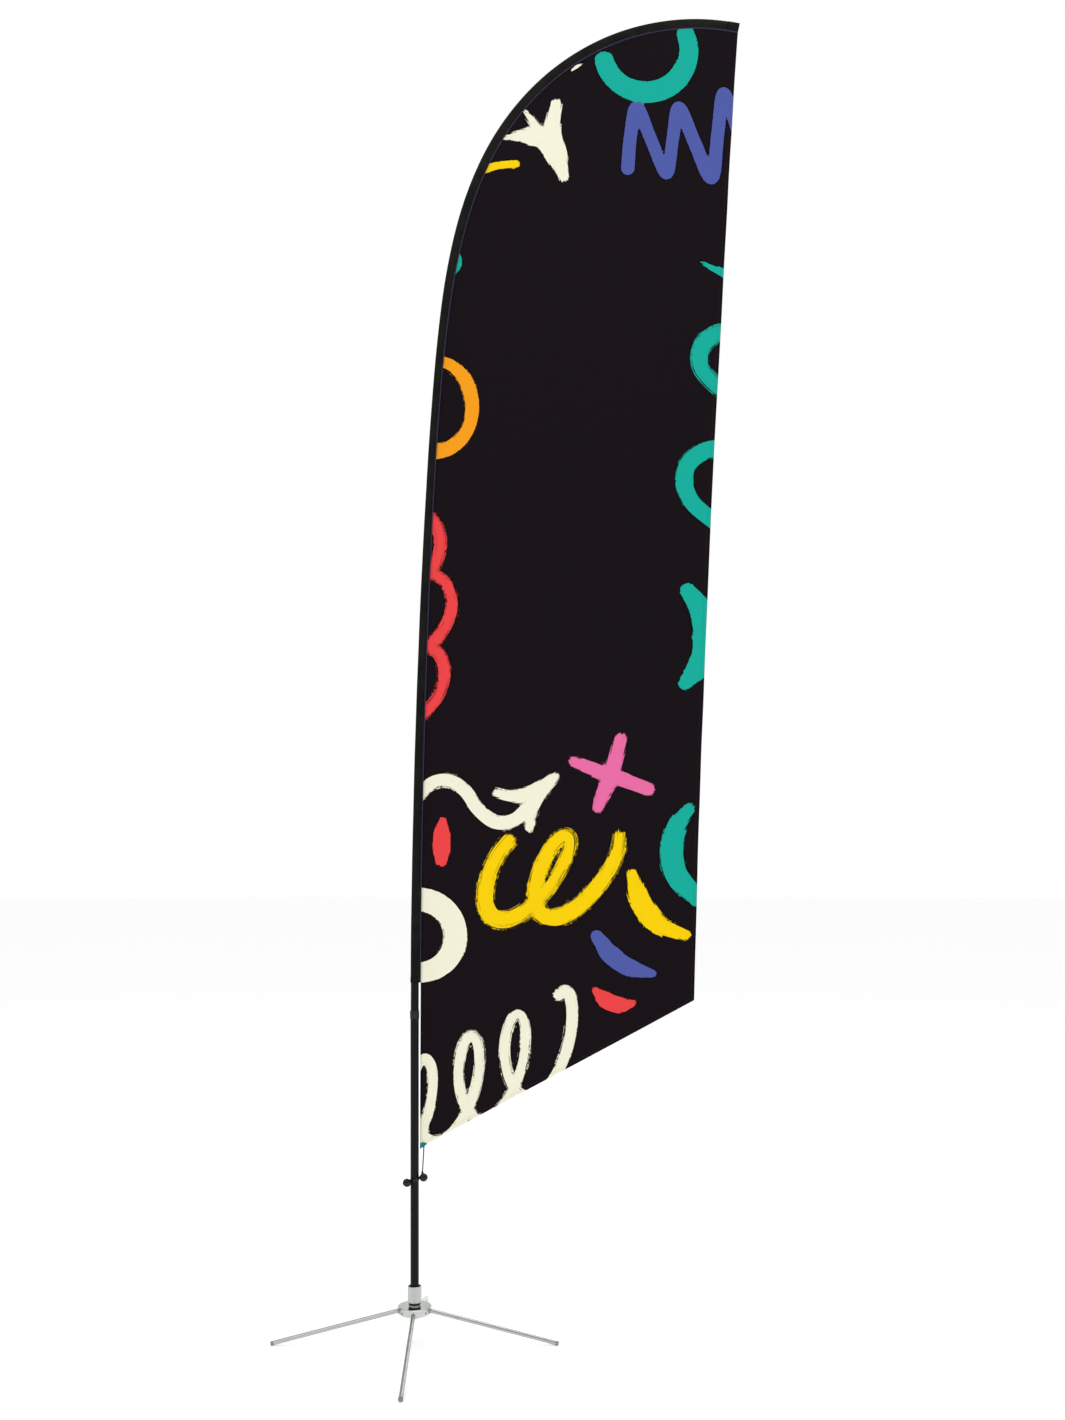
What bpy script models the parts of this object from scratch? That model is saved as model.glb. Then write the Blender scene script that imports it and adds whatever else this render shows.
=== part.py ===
"""A 3.45 m feather flag on a turning pole, in a folding four-leg cross base.

Metres, +Z up, floor at z = 0, flag in the plane y = 0. The pieces are laid out around the pole's
axis, and one empty puts that axis where the origin falls under the middle of the whole object.
"""
import math

import bmesh
import bpy
from mathutils import Matrix, Vector

# Fits: a gap between touching pieces, and the play of a piece that slides or turns on another
GAP = 0.0003
PLAY = 0.0003

# Hub: a turned steel disc
HUB_RADIUS = 0.044
HUB_BOTTOM = 0.084
HUB_HEIGHT = 0.020
HUB_TOP_CHAMFER = 0.0015
HUB_BOTTOM_CHAMFER = 0.0030

# Legs: four chromed rods, hinged in slots that open downwards
LEG_COUNT = 4
LEG_RADIUS = 0.00575
LEG_REACH = 0.375
LEG_PIVOT_RADIUS = 0.030
LEG_PIVOT_ABOVE_BOTTOM = 0.0095
PIN_RADIUS = 0.0025
PIN_INNER_END = 0.0135
PIN_OUTER_END = 0.0270
PLUG_HEAD_LENGTH = 0.008
PLUG_LIP = 0.00015
PLUG_DOME = 0.0015
PLUG_SPIGOT_RADIUS = 0.0027
PLUG_SPIGOT_LENGTH = 0.012
SOLE_CUT = 0.0017

# Rotator: a ball bearing let into the hub, and the stack that its spindle clamps
JOURNAL_RADIUS = 0.006
BEARING_RADIUS = 0.014
BEARING_HEIGHT = 0.008
BEARING_SUNK = 0.006
BEARING_BALLS = 7
RACE_WALL = 0.0016
THRUST_WASHER_RADIUS = 0.0155
THRUST_WASHER_HEIGHT = 0.0057
SOCKET_WALL = 0.0025
SOCKET_FLOOR = 0.004
SOCKET_HEIGHT = 0.043
BUSH_WALL = 0.0039
BUSH_RECESS = 0.0025
FLANGE_LIP = 0.001
FLANGE_HEIGHT = 0.003
SPIGOT_PLAY = 0.0007
SPIGOT_LENGTH = 0.145
SPINDLE_TAIL = 0.015
LOCK_WASHER_RADIUS = 0.010
LOCK_WASHER_HEIGHT = 0.0019
NUT_ACROSS_FLATS = 0.018
NUT_HEIGHT = 0.010

# Pole: four tubes, straight to BEND_FROM and bent above it. The lean grows evenly to
# GENTLE_LEAN at the tip, and from TIGHT_FROM on the tip bends at TIGHT_RADIUS as well.
POLE_RADII = (0.0110, 0.0105, 0.0085, 0.0063, 0.0030)
TUBE_WALL = 0.0018
SECTION_TOPS = (0.872, 1.880, 2.890)
BEND_FROM = 0.776
BEND_LENGTH = 3.133
GENTLE_LEAN = math.radians(6.43)
TIGHT_FROM = 2.164
TIGHT_EASE = 0.1715
TIGHT_RADIUS = 0.5846
PATH_STEP = 0.002
COUPLER_HALF_LENGTH = 0.060
COUPLER_SHOULDER = 0.002
JOINT_RING_HEIGHT = 0.021
JOINT_RING_WALL = 0.0008
TIP_CAP_LENGTH = 0.012
TIP_CAP_LIP = 0.0005

# Flag: a sleeve round the pole, a seam tape, and the printed cloth
SLEEVE_MOUTH = 0.945
SLEEVE_EASE = 0.0011
SLEEVE_WALL = 0.0006
SLEEVE_TOP_HALF_WIDTH = 0.0105
SLEEVE_WIDENS_FROM = 1.50
SLEEVE_WIDENS_OVER = 0.70
MOUTH_HEM_HEIGHT = 0.012
MOUTH_HEM_STEP = 0.0004
TIP_POCKET_LENGTH = 0.030
TIP_POCKET_END = 0.002
TIP_POCKET_WALL = 0.0012
TIP_POCKET_EASE = 0.0016
TAPE_WIDTH = 0.003
TAPE_THICKNESS = 0.0012
CLOTH_THICKNESS = 0.0005
LUFF_GAP = 0.0028
FLY_FOOT = (0.7273, 0.8995)
FLY_HOLLOW = 0.012
FLY_POINTS = 10
TAB_TOP = 0.5277
TAB_WIDTH = 0.0177
TAB_DEPTH_AT_POLE = 0.0147
TAB_DEPTH_AT_CLOTH = 0.0030
TAB_THICKNESS = 0.0018

# Tensioner: an elastic band round the pole, with a ball on each of its ends
BAND_Z = 0.4315
BAND_HEIGHT = 0.009
BAND_THICKNESS = 0.0016
BAND_SLANT = math.radians(15)
BAND_END_RADIUS = 0.002
BAND_END_LENGTH = 0.012
BALL_RADIUS = 0.0108
BALLS = {"left": (math.radians(-141.57), 0.4266), "right": (math.radians(-9.07), 0.4380)}

# Tension cord, from the corner tab to the right ball: its points, in order, each as far from the cloth's
# pole side as its first number says
CORD_RADIUS = 0.00175
CORD_POINTS = (
    (0.0102, 0.0000, 0.5180),
    (0.0100, -0.0003, 0.5080),
    (0.0095, -0.0009, 0.4970),
    (0.0089, -0.0016, 0.4860),
    (0.0082, -0.0023, 0.4750),
    (0.0075, -0.0030, 0.4640),
    (0.0070, -0.0035, 0.4550),
    (0.0068, -0.0038, 0.4490),
)

ROUND = 32
PATH_SIDES = 12
LEAN_PER_STATION = math.radians(3)
STATION_SPACING = 0.16

for leftover in list(bpy.data.objects):
    bpy.data.objects.remove(leftover, do_unlink=True)


def finish(name, rgb, roughness, metallic=0.0):
    """A plain material in the piece's own colour."""
    material = bpy.data.materials.new(name)
    material.use_nodes = True
    shader = material.node_tree.nodes["Principled BSDF"]
    shader.inputs["Base Color"].default_value = (*rgb, 1)
    shader.inputs["Roughness"].default_value = roughness
    shader.inputs["Metallic"].default_value = metallic
    material.diffuse_color = (*rgb, 1)
    return material


CHROME = finish("chrome", (0.55, 0.58, 0.57), 0.12, 1.0)
STEEL = finish("bearing_steel", (0.42, 0.43, 0.44), 0.3, 1.0)
ZINC = finish("zinc_plate", (0.50, 0.50, 0.48), 0.4, 1.0)
NYLON = finish("black_nylon", (0.018, 0.018, 0.020), 0.5)
GREY_RUBBER = finish("grey_rubber", (0.16, 0.17, 0.17), 0.7)
GLASS_FIBRE = finish("black_pole", (0.012, 0.013, 0.012), 0.35)
ALLOY = finish("alloy_ring", (0.03, 0.032, 0.03), 0.35, 0.6)
SLEEVE_CLOTH = finish("sleeve_cloth", (0.013, 0.013, 0.013), 0.85)
FLAG_CLOTH = finish("flag_cloth", (0.010, 0.007, 0.009), 0.8)
TAPE_CLOTH = finish("seam_tape", (0.035, 0.025, 0.055), 0.8)
TEAL_WEBBING = finish("teal_webbing", (0.008, 0.38, 0.35), 0.7)
BLACK_RUBBER = finish("black_rubber", (0.012, 0.012, 0.014), 0.45)
CORD_BRAID = finish("cord_braid", (0.10, 0.09, 0.16), 0.7)


# --- the pole's path -------------------------------------------------------------------------


def lean_at(distance):
    """The pole's lean from upright, at a distance along it from BEND_FROM."""
    if distance <= 0:
        return 0.0
    gentle = GENTLE_LEAN * distance / BEND_LENGTH
    eased = TIGHT_EASE * math.log1p(math.exp((distance - TIGHT_FROM) / TIGHT_EASE))
    return gentle + eased / TIGHT_RADIUS


def walk_the_bend():
    """Points (distance, x, z) all along the bent part, from which any point is read."""
    points = [(0.0, 0.0, BEND_FROM)]
    steps = round(BEND_LENGTH / PATH_STEP)
    step = BEND_LENGTH / steps
    for index in range(steps):
        distance, x, z = points[-1]
        lean = lean_at(distance + step / 2)
        points.append((distance + step, x + step * math.sin(lean), z + step * math.cos(lean)))
    return points


BEND = walk_the_bend()


def path_point(distance):
    """The centre of the pole at a distance along it, below zero in its straight part."""
    if distance <= 0:
        return Vector((0, 0, BEND_FROM + distance))
    step = min(distance / BEND_LENGTH * (len(BEND) - 1), len(BEND) - 1.000001)
    index = int(step)
    low, high = Vector(BEND[index][1:]), Vector(BEND[index + 1][1:])
    mixed = low.lerp(high, step - index)
    return Vector((mixed.x, 0, mixed.y))


def beside_path(distance, across, deep=0.0):
    """A point beside the pole: across towards the cloth, and deep along +Y."""
    lean = lean_at(distance)
    return path_point(distance) + Vector((math.cos(lean), 0, -math.sin(lean))) * across + Vector((0, deep, 0))


def distance_at_height(z):
    """How far along the pole a height is, for heights below the tight bend's crown."""
    if z <= BEND_FROM:
        return z - BEND_FROM
    above = next(index for index, (_, _, height) in enumerate(BEND) if height >= z)
    (start, _, low), (end, _, high) = BEND[above - 1], BEND[above]
    return start + (end - start) * (z - low) / (high - low)


def make_stations():
    """The distances at which every long piece has a ring, closer together where the pole bends."""
    stations = [0.0]
    distance = 0.0
    while distance < BEND_LENGTH:
        distance += PATH_STEP
        turned_far = lean_at(distance) - lean_at(stations[-1]) > LEAN_PER_STATION
        if turned_far or distance - stations[-1] > STATION_SPACING:
            stations.append(distance)
    return stations


STATIONS = make_stations()


def stretch(start, end):
    """The stations of a piece that runs from start to end."""
    inner = [s for s in STATIONS if start + 0.004 < s < end - 0.004]
    return [start, *inner, end]


# --- helpers for shapes ----------------------------------------------------------------------

assembly = bpy.data.objects.new("pole_axis", None)
bpy.context.scene.collection.objects.link(assembly)
assembly.location.x = (LEG_REACH - path_point(BEND_LENGTH).x) / 2


def place(name, bm, material, parent=assembly, crease=40):
    """Makes the bmesh an object of that name, smooth except where it turns more than crease degrees."""
    bmesh.ops.recalc_face_normals(bm, faces=bm.faces)
    mesh = bpy.data.meshes.new(name)
    bm.to_mesh(mesh)
    bm.free()
    mesh.materials.append(material)
    mesh.shade_smooth()
    mesh.set_sharp_from_angle(angle=math.radians(crease))
    piece = bpy.data.objects.new(name, mesh)
    bpy.context.scene.collection.objects.link(piece)
    piece.parent = parent
    return piece


def turned(profile, closed, steps=ROUND):
    """Spins a profile of (radius, z) points about Z. A closed one makes a ring, and any other
    starts and ends on the axis."""
    bm = bmesh.new()
    verts = [bm.verts.new((radius, 0, z)) for radius, z in profile]
    pairs = list(zip(verts, verts[1:]))
    if closed:
        pairs.append((verts[-1], verts[0]))
    edges = [bm.edges.new(pair) for pair in pairs]
    bmesh.ops.spin(bm, geom=verts + edges, cent=(0, 0, 0), axis=(0, 0, 1), angle=math.tau,
                   steps=steps, use_merge=True)
    bmesh.ops.remove_doubles(bm, verts=bm.verts, dist=1e-6)
    return bm


def ring(inner, outer, low, high, steps=ROUND):
    """A plain ring between two radii and two heights."""
    return turned([(inner, low), (outer, low), (outer, high), (inner, high)], True, steps)


def outline_solid(points, thickness):
    """A flat outline of (x, z) points, given its thickness about the plane y = 0."""
    bm = bmesh.new()
    face = bm.faces.new([bm.verts.new((x, -thickness / 2, z)) for x, z in points])
    grown = bmesh.ops.extrude_face_region(bm, geom=[face])["geom"]
    far = [item for item in grown if isinstance(item, bmesh.types.BMVert)]
    bmesh.ops.translate(bm, verts=far, vec=(0, thickness, 0))
    return bm


def skin(bm, distances, half_width, half_depth):
    """One elliptical skin along the pole's path; returns its rings of vertices."""
    rings = []
    for distance in distances:
        wide, deep = half_width(distance), half_depth(distance)
        corners = [math.tau * side / PATH_SIDES for side in range(PATH_SIDES)]
        rings.append([bm.verts.new(beside_path(distance, wide * math.cos(a), deep * math.sin(a)))
                      for a in corners])
    for low, high in zip(rings, rings[1:]):
        join_rings(bm, low, high)
    return rings


def join_rings(bm, first, second):
    """A band of faces between two rings with as many vertices each."""
    for index in range(len(first)):
        after = (index + 1) % len(first)
        bm.faces.new((first[index], first[after], second[after], second[index]))


def path_tube(distances, outer_width, inner_width, outer_depth=None, inner_depth=None):
    """A tube along the path, open at both ends. Each size is a function of the distance."""
    bm = bmesh.new()
    outside = skin(bm, distances, outer_width, outer_depth or outer_width)
    inside = skin(bm, distances, inner_width, inner_depth or inner_width)
    join_rings(bm, outside[0], inside[0])
    join_rings(bm, outside[-1], inside[-1])
    return bm


def path_rod(distances, radius):
    """A solid rod along the path."""
    bm = bmesh.new()
    rings = skin(bm, distances, radius, radius)
    bm.faces.new(rings[0])
    bm.faces.new(rings[-1])
    return bm


def path_cup(distances, end, outer_width, outer_depth, wall):
    """A tube along the path that is closed at its far end, by a floor as thick as end."""
    bm = bmesh.new()
    hollow = [*distances[:-1], distances[-1] - end]
    outside = skin(bm, distances, outer_width, outer_depth)
    inside = skin(bm, hollow, lambda d: outer_width(d) - wall, lambda d: outer_depth(d) - wall)
    join_rings(bm, outside[0], inside[0])
    bm.faces.new(outside[-1])
    bm.faces.new(inside[-1])
    return bm


def cutter(name, bm, parent):
    """An object that only cuts others, and isn't part of the model."""
    tool = place(name, bm, STEEL, parent)
    tool.hide_render = True
    tool.display_type = "WIRE"
    return tool


def cut(piece, tool, operation="DIFFERENCE"):
    modifier = piece.modifiers.new(tool.name, "BOOLEAN")
    modifier.operation = operation
    modifier.solver = "EXACT"
    modifier.object = tool


def rod_along(axis, radius, start, end, steps=16):
    """A plain rod along X or Y, from start to end."""
    bm = bmesh.new()
    bmesh.ops.create_cone(bm, cap_ends=True, segments=steps, radius1=radius, radius2=radius,
                          depth=end - start)
    bmesh.ops.translate(bm, verts=bm.verts, vec=(0, 0, (start + end) / 2))
    turn = Matrix.Rotation(math.pi / 2, 3, "Y") if axis == "X" else Matrix.Rotation(-math.pi / 2, 3, "X")
    bmesh.ops.rotate(bm, verts=bm.verts, cent=(0, 0, 0), matrix=turn)
    return bm


def empty_at(name, location, parent, turn=(0, 0, 0)):
    holder = bpy.data.objects.new(name, None)
    bpy.context.scene.collection.objects.link(holder)
    holder.parent = parent
    holder.location = location
    holder.rotation_euler = turn
    return holder


# --- hub -------------------------------------------------------------------------------------

HUB_TOP = HUB_BOTTOM + HUB_HEIGHT
PIVOT_Z = HUB_BOTTOM + LEG_PIVOT_ABOVE_BOTTOM
SLOT_RADIUS = LEG_RADIUS + PLAY
BEARING_FLOOR = HUB_TOP - BEARING_SUNK
PLUG_HEAD_RADIUS = LEG_RADIUS + PLUG_LIP
LEG_DROP = PIVOT_Z - (PLUG_HEAD_RADIUS - SOLE_CUT)
LEG_SLOPE = math.atan2(LEG_DROP, LEG_REACH - LEG_PIVOT_RADIUS)
LEG_NAMES = ("right", "rear", "left", "front")


def hub_solid():
    bore = JOURNAL_RADIUS + PLAY
    seat = BEARING_RADIUS + GAP
    return turned([
        (bore, HUB_BOTTOM),
        (HUB_RADIUS - HUB_BOTTOM_CHAMFER, HUB_BOTTOM),
        (HUB_RADIUS, HUB_BOTTOM + HUB_BOTTOM_CHAMFER),
        (HUB_RADIUS, HUB_TOP - HUB_TOP_CHAMFER),
        (HUB_RADIUS - HUB_TOP_CHAMFER, HUB_TOP),
        (seat, HUB_TOP),
        (seat, BEARING_FLOOR),
        (bore, BEARING_FLOOR),
    ], True, 2 * ROUND)


def slot_cutter():
    """A leg's slot, round-topped and open below, along the leg from its pivot out past the rim."""
    inner = LEG_PIVOT_RADIUS - SLOT_RADIUS
    outer = HUB_RADIUS + LEG_RADIUS
    roof = [math.pi * step / 12 for step in range(13)]
    inner_z = PIVOT_Z + SLOT_RADIUS * math.tan(LEG_SLOPE)
    arch_height = SLOT_RADIUS / math.cos(LEG_SLOPE)
    below = HUB_BOTTOM - 2 * LEG_RADIUS
    arch = [(SLOT_RADIUS * math.cos(a), inner_z + arch_height * math.sin(a)) for a in roof]
    bm = bmesh.new()
    corners = [(arch[0][0], below), *arch, (arch[-1][0], below)]
    face = bm.faces.new([bm.verts.new((inner, y, z)) for y, z in corners])
    grown = bmesh.ops.extrude_face_region(bm, geom=[face])["geom"]
    far = [item for item in grown if isinstance(item, bmesh.types.BMVert)]
    run = outer - inner
    bmesh.ops.translate(bm, verts=far, vec=(run, 0, -run * math.tan(LEG_SLOPE)))
    return bm


hub = place("base_hub", hub_solid(), CHROME)


# --- legs, one at a time round the hub ---------------------------------------------------------


def leg_rod(length):
    """A rod along X from its round inner end, centred on the pivot, to its foot, drilled for the plug."""
    hole = PLUG_SPIGOT_RADIUS + GAP
    depth = PLUG_SPIGOT_LENGTH + GAP
    dome = [(LEG_RADIUS * math.sin(a), -LEG_RADIUS * math.cos(a))
            for a in (math.pi / 2 * step / 6 for step in range(7))]
    bm = turned([*dome, (LEG_RADIUS, length), (hole, length), (hole, length - depth),
                 (0, length - depth)], False, 20)
    bmesh.ops.rotate(bm, verts=bm.verts, cent=(0, 0, 0), matrix=Matrix.Rotation(math.pi / 2, 3, "Y"))
    return bm


def foot_plug(length):
    """The plug in a leg's end. Its head is cut flat where it stands on the floor."""
    tip = length + GAP + PLUG_HEAD_LENGTH
    bm = turned([
        (0, length - PLUG_SPIGOT_LENGTH),
        (PLUG_SPIGOT_RADIUS, length - PLUG_SPIGOT_LENGTH),
        (PLUG_SPIGOT_RADIUS, length + GAP),
        (PLUG_HEAD_RADIUS, length + GAP),
        (PLUG_HEAD_RADIUS, tip - PLUG_DOME),
        (PLUG_HEAD_RADIUS - PLUG_DOME, tip),
        (0, tip),
    ], False, 24)
    bmesh.ops.rotate(bm, verts=bm.verts, cent=(0, 0, 0), matrix=Matrix.Rotation(math.pi / 2, 3, "Y"))
    down = Vector((math.sin(LEG_SLOPE), 0, -math.cos(LEG_SLOPE)))
    bmesh.ops.bisect_plane(bm, geom=[*bm.verts, *bm.edges, *bm.faces], plane_co=down * PIVOT_Z,
                           plane_no=down, clear_outer=True)
    rim = [edge for edge in bm.edges if edge.is_boundary]
    bmesh.ops.contextual_create(bm, geom=rim)
    return bm


leg_length = math.hypot(LEG_DROP, LEG_REACH - LEG_PIVOT_RADIUS)
rod_length = leg_length - PLUG_HEAD_LENGTH - GAP
for number, side in enumerate(LEG_NAMES[:LEG_COUNT]):
    azimuth = math.tau * number / LEG_COUNT
    bearing = empty_at(f"{side}_side", (0, 0, 0), assembly, (0, 0, azimuth))
    cut(hub, cutter(f"{side}_slot_cutter", slot_cutter(), bearing))
    hinge = empty_at(f"{side}_hinge", (LEG_PIVOT_RADIUS, 0, PIVOT_Z), bearing)
    pin_hole = rod_along("Y", PIN_RADIUS + PLAY, -PIN_INNER_END - GAP, HUB_RADIUS)
    cut(hub, cutter(f"{side}_pin_hole_cutter", pin_hole, hinge))
    place(f"leg_pin_{side}", rod_along("Y", PIN_RADIUS, -PIN_INNER_END, PIN_OUTER_END), STEEL, hinge)
    slope = empty_at(f"{side}_slope", (0, 0, 0), hinge, (0, LEG_SLOPE, 0))
    rod = place(f"leg_{side}", leg_rod(rod_length), CHROME, slope)
    rod_hole = rod_along("Y", PIN_RADIUS + PLAY, -2 * LEG_RADIUS, 2 * LEG_RADIUS)
    cut(rod, cutter(f"{side}_rod_hole_cutter", rod_hole, slope))
    place(f"foot_plug_{side}", foot_plug(rod_length), GREY_RUBBER, slope)


# --- rotator: bearing, spindle, socket and what clamps them --------------------------------------

bearing_low = BEARING_FLOOR + GAP
bearing_high = bearing_low + BEARING_HEIGHT
washer_low = bearing_high + GAP
washer_high = washer_low + THRUST_WASHER_HEIGHT
socket_low = washer_high + GAP
socket_high = socket_low + SOCKET_HEIGHT
flange_low = socket_low + SOCKET_FLOOR + GAP
flange_high = flange_low + FLANGE_HEIGHT
pole_foot = flange_high + GAP
on_journal = JOURNAL_RADIUS + PLAY
inner_race = on_journal + RACE_WALL
outer_race = BEARING_RADIUS - RACE_WALL
pole_bore = POLE_RADII[0] - TUBE_WALL
bush_bore = POLE_RADII[0] + PLAY
socket_bore = bush_bore + BUSH_WALL + GAP
socket_radius = socket_bore + SOCKET_WALL
tail_end = HUB_BOTTOM - SPINDLE_TAIL


def ball_cage():
    """The cage ring of the bearing, which holds its balls; they are joined to it."""
    middle = (bearing_low + bearing_high) / 2
    track = (inner_race + outer_race) / 2
    ball_radius = (outer_race - inner_race) / 2 - PLAY
    half = ball_radius / 2
    cage = place("bearing_ball_cage", ring(track - half, track + half, middle - half, middle + half), STEEL)
    bm = bmesh.new()
    for number in range(BEARING_BALLS):
        around = math.tau * number / BEARING_BALLS
        spot = Matrix.Translation((track * math.cos(around), track * math.sin(around), middle))
        bmesh.ops.create_uvsphere(bm, u_segments=10, v_segments=6, radius=ball_radius, matrix=spot)
    cut(cage, cutter("bearing_balls", bm, assembly), "UNION")


def spindle_solid():
    spigot = pole_bore - SPIGOT_PLAY
    chamfer = spigot / 4
    flange = POLE_RADII[0] + FLANGE_LIP
    top = flange_high + SPIGOT_LENGTH
    return turned([
        (0, tail_end),
        (JOURNAL_RADIUS, tail_end),
        (JOURNAL_RADIUS, flange_low),
        (flange, flange_low),
        (flange, flange_high),
        (spigot, flange_high),
        (spigot, top - chamfer),
        (spigot - chamfer, top),
        (0, top),
    ], False)


def socket_solid():
    """A cup with a rounded lip, that the pole's foot stands in."""
    lip = SOCKET_WALL / 3
    return turned([
        (on_journal, socket_low),
        (socket_radius - lip, socket_low),
        (socket_radius, socket_low + lip),
        (socket_radius, socket_high - lip),
        (socket_radius - lip, socket_high),
        (socket_bore + lip, socket_high),
        (socket_bore, socket_high - lip),
        (socket_bore, socket_low + SOCKET_FLOOR),
        (on_journal, socket_low + SOCKET_FLOOR),
    ], True)


def lock_nut():
    """A hexagonal nut on the spindle's tail."""
    corner = NUT_ACROSS_FLATS / 2 / math.cos(math.pi / 6)
    top = HUB_BOTTOM - GAP - LOCK_WASHER_HEIGHT - GAP
    bm = bmesh.new()
    bmesh.ops.create_cone(bm, cap_ends=False, segments=6, radius1=corner, radius2=corner, depth=NUT_HEIGHT)
    bmesh.ops.create_cone(bm, cap_ends=False, segments=24, radius1=on_journal, radius2=on_journal,
                          depth=NUT_HEIGHT)
    for height in (-NUT_HEIGHT / 2, NUT_HEIGHT / 2):
        rims = [edge for edge in bm.edges if all(abs(vert.co.z - height) < 1e-6 for vert in edge.verts)]
        bmesh.ops.triangle_fill(bm, edges=rims, use_beauty=True)
    bmesh.ops.translate(bm, verts=bm.verts, vec=(0, 0, top - NUT_HEIGHT / 2))
    return bm


place("bearing_outer_ring", ring(outer_race, BEARING_RADIUS, bearing_low, bearing_high), STEEL)
place("bearing_inner_ring", ring(on_journal, inner_race, bearing_low, bearing_high), STEEL)
ball_cage()
place("thrust_washer", ring(on_journal, THRUST_WASHER_RADIUS, washer_low, washer_high), NYLON)
place("spindle", spindle_solid(), STEEL)
place("pole_socket", socket_solid(), CHROME)
place("socket_bush", ring(bush_bore, bush_bore + BUSH_WALL, pole_foot, socket_high - BUSH_RECESS), NYLON)
place("lock_washer", ring(on_journal, LOCK_WASHER_RADIUS, HUB_BOTTOM - GAP - LOCK_WASHER_HEIGHT,
                          HUB_BOTTOM - GAP), ZINC)
place("lock_nut", lock_nut(), ZINC)


# --- pole ----------------------------------------------------------------------------------------

tip_end = BEND_LENGTH - TIP_POCKET_END - GAP
cap_start = tip_end - TIP_CAP_LENGTH
section_ends = [distance_at_height(pole_foot), *map(distance_at_height, SECTION_TOPS), cap_start]


def section_radius(distance):
    """The pole's outer radius: the first section is parallel, and the others taper."""
    if distance <= section_ends[1]:
        return POLE_RADII[0]
    for number in range(1, len(POLE_RADII) - 1):
        start, end = section_ends[number:number + 2]
        if distance <= end:
            share = (distance - start) / (end - start)
            return POLE_RADII[number] + (POLE_RADII[number + 1] - POLE_RADII[number]) * share
    return POLE_RADII[-1]


def tube_bore(distance):
    return section_radius(distance) - TUBE_WALL


def coupler(joint):
    """The spigot that joins two sections: each half fits the narrowest bore that it stands in."""
    lower, upper = joint - COUPLER_HALF_LENGTH, joint + COUPLER_HALF_LENGTH
    shoulder = joint - COUPLER_SHOULDER
    sizes = {True: tube_bore(shoulder) - 2 * PLAY, False: tube_bore(upper) - PLAY}
    return path_rod([*stretch(lower, shoulder), *stretch(joint, upper)], lambda d: sizes[d < joint])


for number in range(4):
    start, end = section_ends[number:number + 2]
    low = start + (GAP if number else 0)
    place(f"pole_section_{number + 1}", path_tube(stretch(low, end), section_radius, tube_bore), GLASS_FIBRE)
    if number:
        place(f"pole_coupler_{number}", coupler(start), ALLOY)

ring_top = SECTION_TOPS[0]
ring_bore = POLE_RADII[0] + GAP
place("pole_joint_ring", ring(ring_bore, ring_bore + JOINT_RING_WALL, ring_top - JOINT_RING_HEIGHT, ring_top),
      ALLOY)
cap_reach = [cap_start + GAP, (cap_start + tip_end) / 2, tip_end]
place("pole_tip_cap", path_rod(cap_reach, lambda d: POLE_RADII[-1] + TIP_CAP_LIP), BLACK_RUBBER)


# --- flag ----------------------------------------------------------------------------------------

mouth = distance_at_height(SLEEVE_MOUTH)
sleeve_end = BEND_LENGTH - TIP_POCKET_LENGTH
luff_x = POLE_RADII[0] + LUFF_GAP


def sleeve_half_depth(distance):
    return section_radius(distance) + SLEEVE_EASE


def sleeve_half_width(distance):
    """The sleeve is snug on the thick sections, and eases out to its full width above them."""
    share = min(max((distance - SLEEVE_WIDENS_FROM) / SLEEVE_WIDENS_OVER, 0), 1)
    eased = share * share * (3 - 2 * share)
    return sleeve_half_depth(distance) * (1 - eased) + SLEEVE_TOP_HALF_WIDTH * eased


def thicker(size, step):
    return lambda distance: size(distance) + step


def seam_tape():
    """The tape that joins sleeve and cloth: a flat strip just outside the sleeve's inner edge."""
    bm = bmesh.new()
    rings = []
    for distance in stretch(mouth, BEND_LENGTH):
        edge = cloth_side(distance) + GAP
        corners = [(edge, -1), (edge + TAPE_WIDTH, -1), (edge + TAPE_WIDTH, 1), (edge, 1)]
        rings.append([bm.verts.new(beside_path(distance, across, side * TAPE_THICKNESS / 2))
                      for across, side in corners])
    for low, high in zip(rings, rings[1:]):
        join_rings(bm, low, high)
    bm.faces.new(rings[0])
    bm.faces.new(rings[-1])
    return bm


def cloth_side(distance):
    """How far the sleeve, with its mouth hem and tip pocket, reaches towards the cloth."""
    return sleeve_half_width(distance) + MOUTH_HEM_STEP


def cloth_outline():
    """Up the tape from the sleeve's mouth to the tip, down the fly, along the foot, up the pole."""
    beside_tape = [beside_path(d, cloth_side(d) + 2 * GAP + TAPE_WIDTH) for d in stretch(mouth, BEND_LENGTH)]
    luff = [(point.x, point.z) for point in beside_tape]
    (top_x, top_z), (foot_x, foot_z) = luff[-1], FLY_FOOT
    fly = []
    for step in range(1, FLY_POINTS + 1):
        share = step / FLY_POINTS
        hollow = FLY_HOLLOW * 4 * share * (1 - share)
        fly.append((top_x + (foot_x - top_x) * share - hollow, top_z + (foot_z - top_z) * share))
    tab_corner = (luff_x + TAB_WIDTH, TAB_TOP - TAB_DEPTH_AT_CLOTH)
    slope = (foot_z - tab_corner[1]) / (foot_x - tab_corner[0])
    corner_x = tab_corner[0] + GAP
    corner = [(corner_x, tab_corner[1] + GAP * slope), (corner_x, TAB_TOP + GAP), (luff_x, TAB_TOP + GAP)]
    return [*luff, *fly, *corner, (luff_x, SLEEVE_MOUTH - GAP)]


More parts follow.
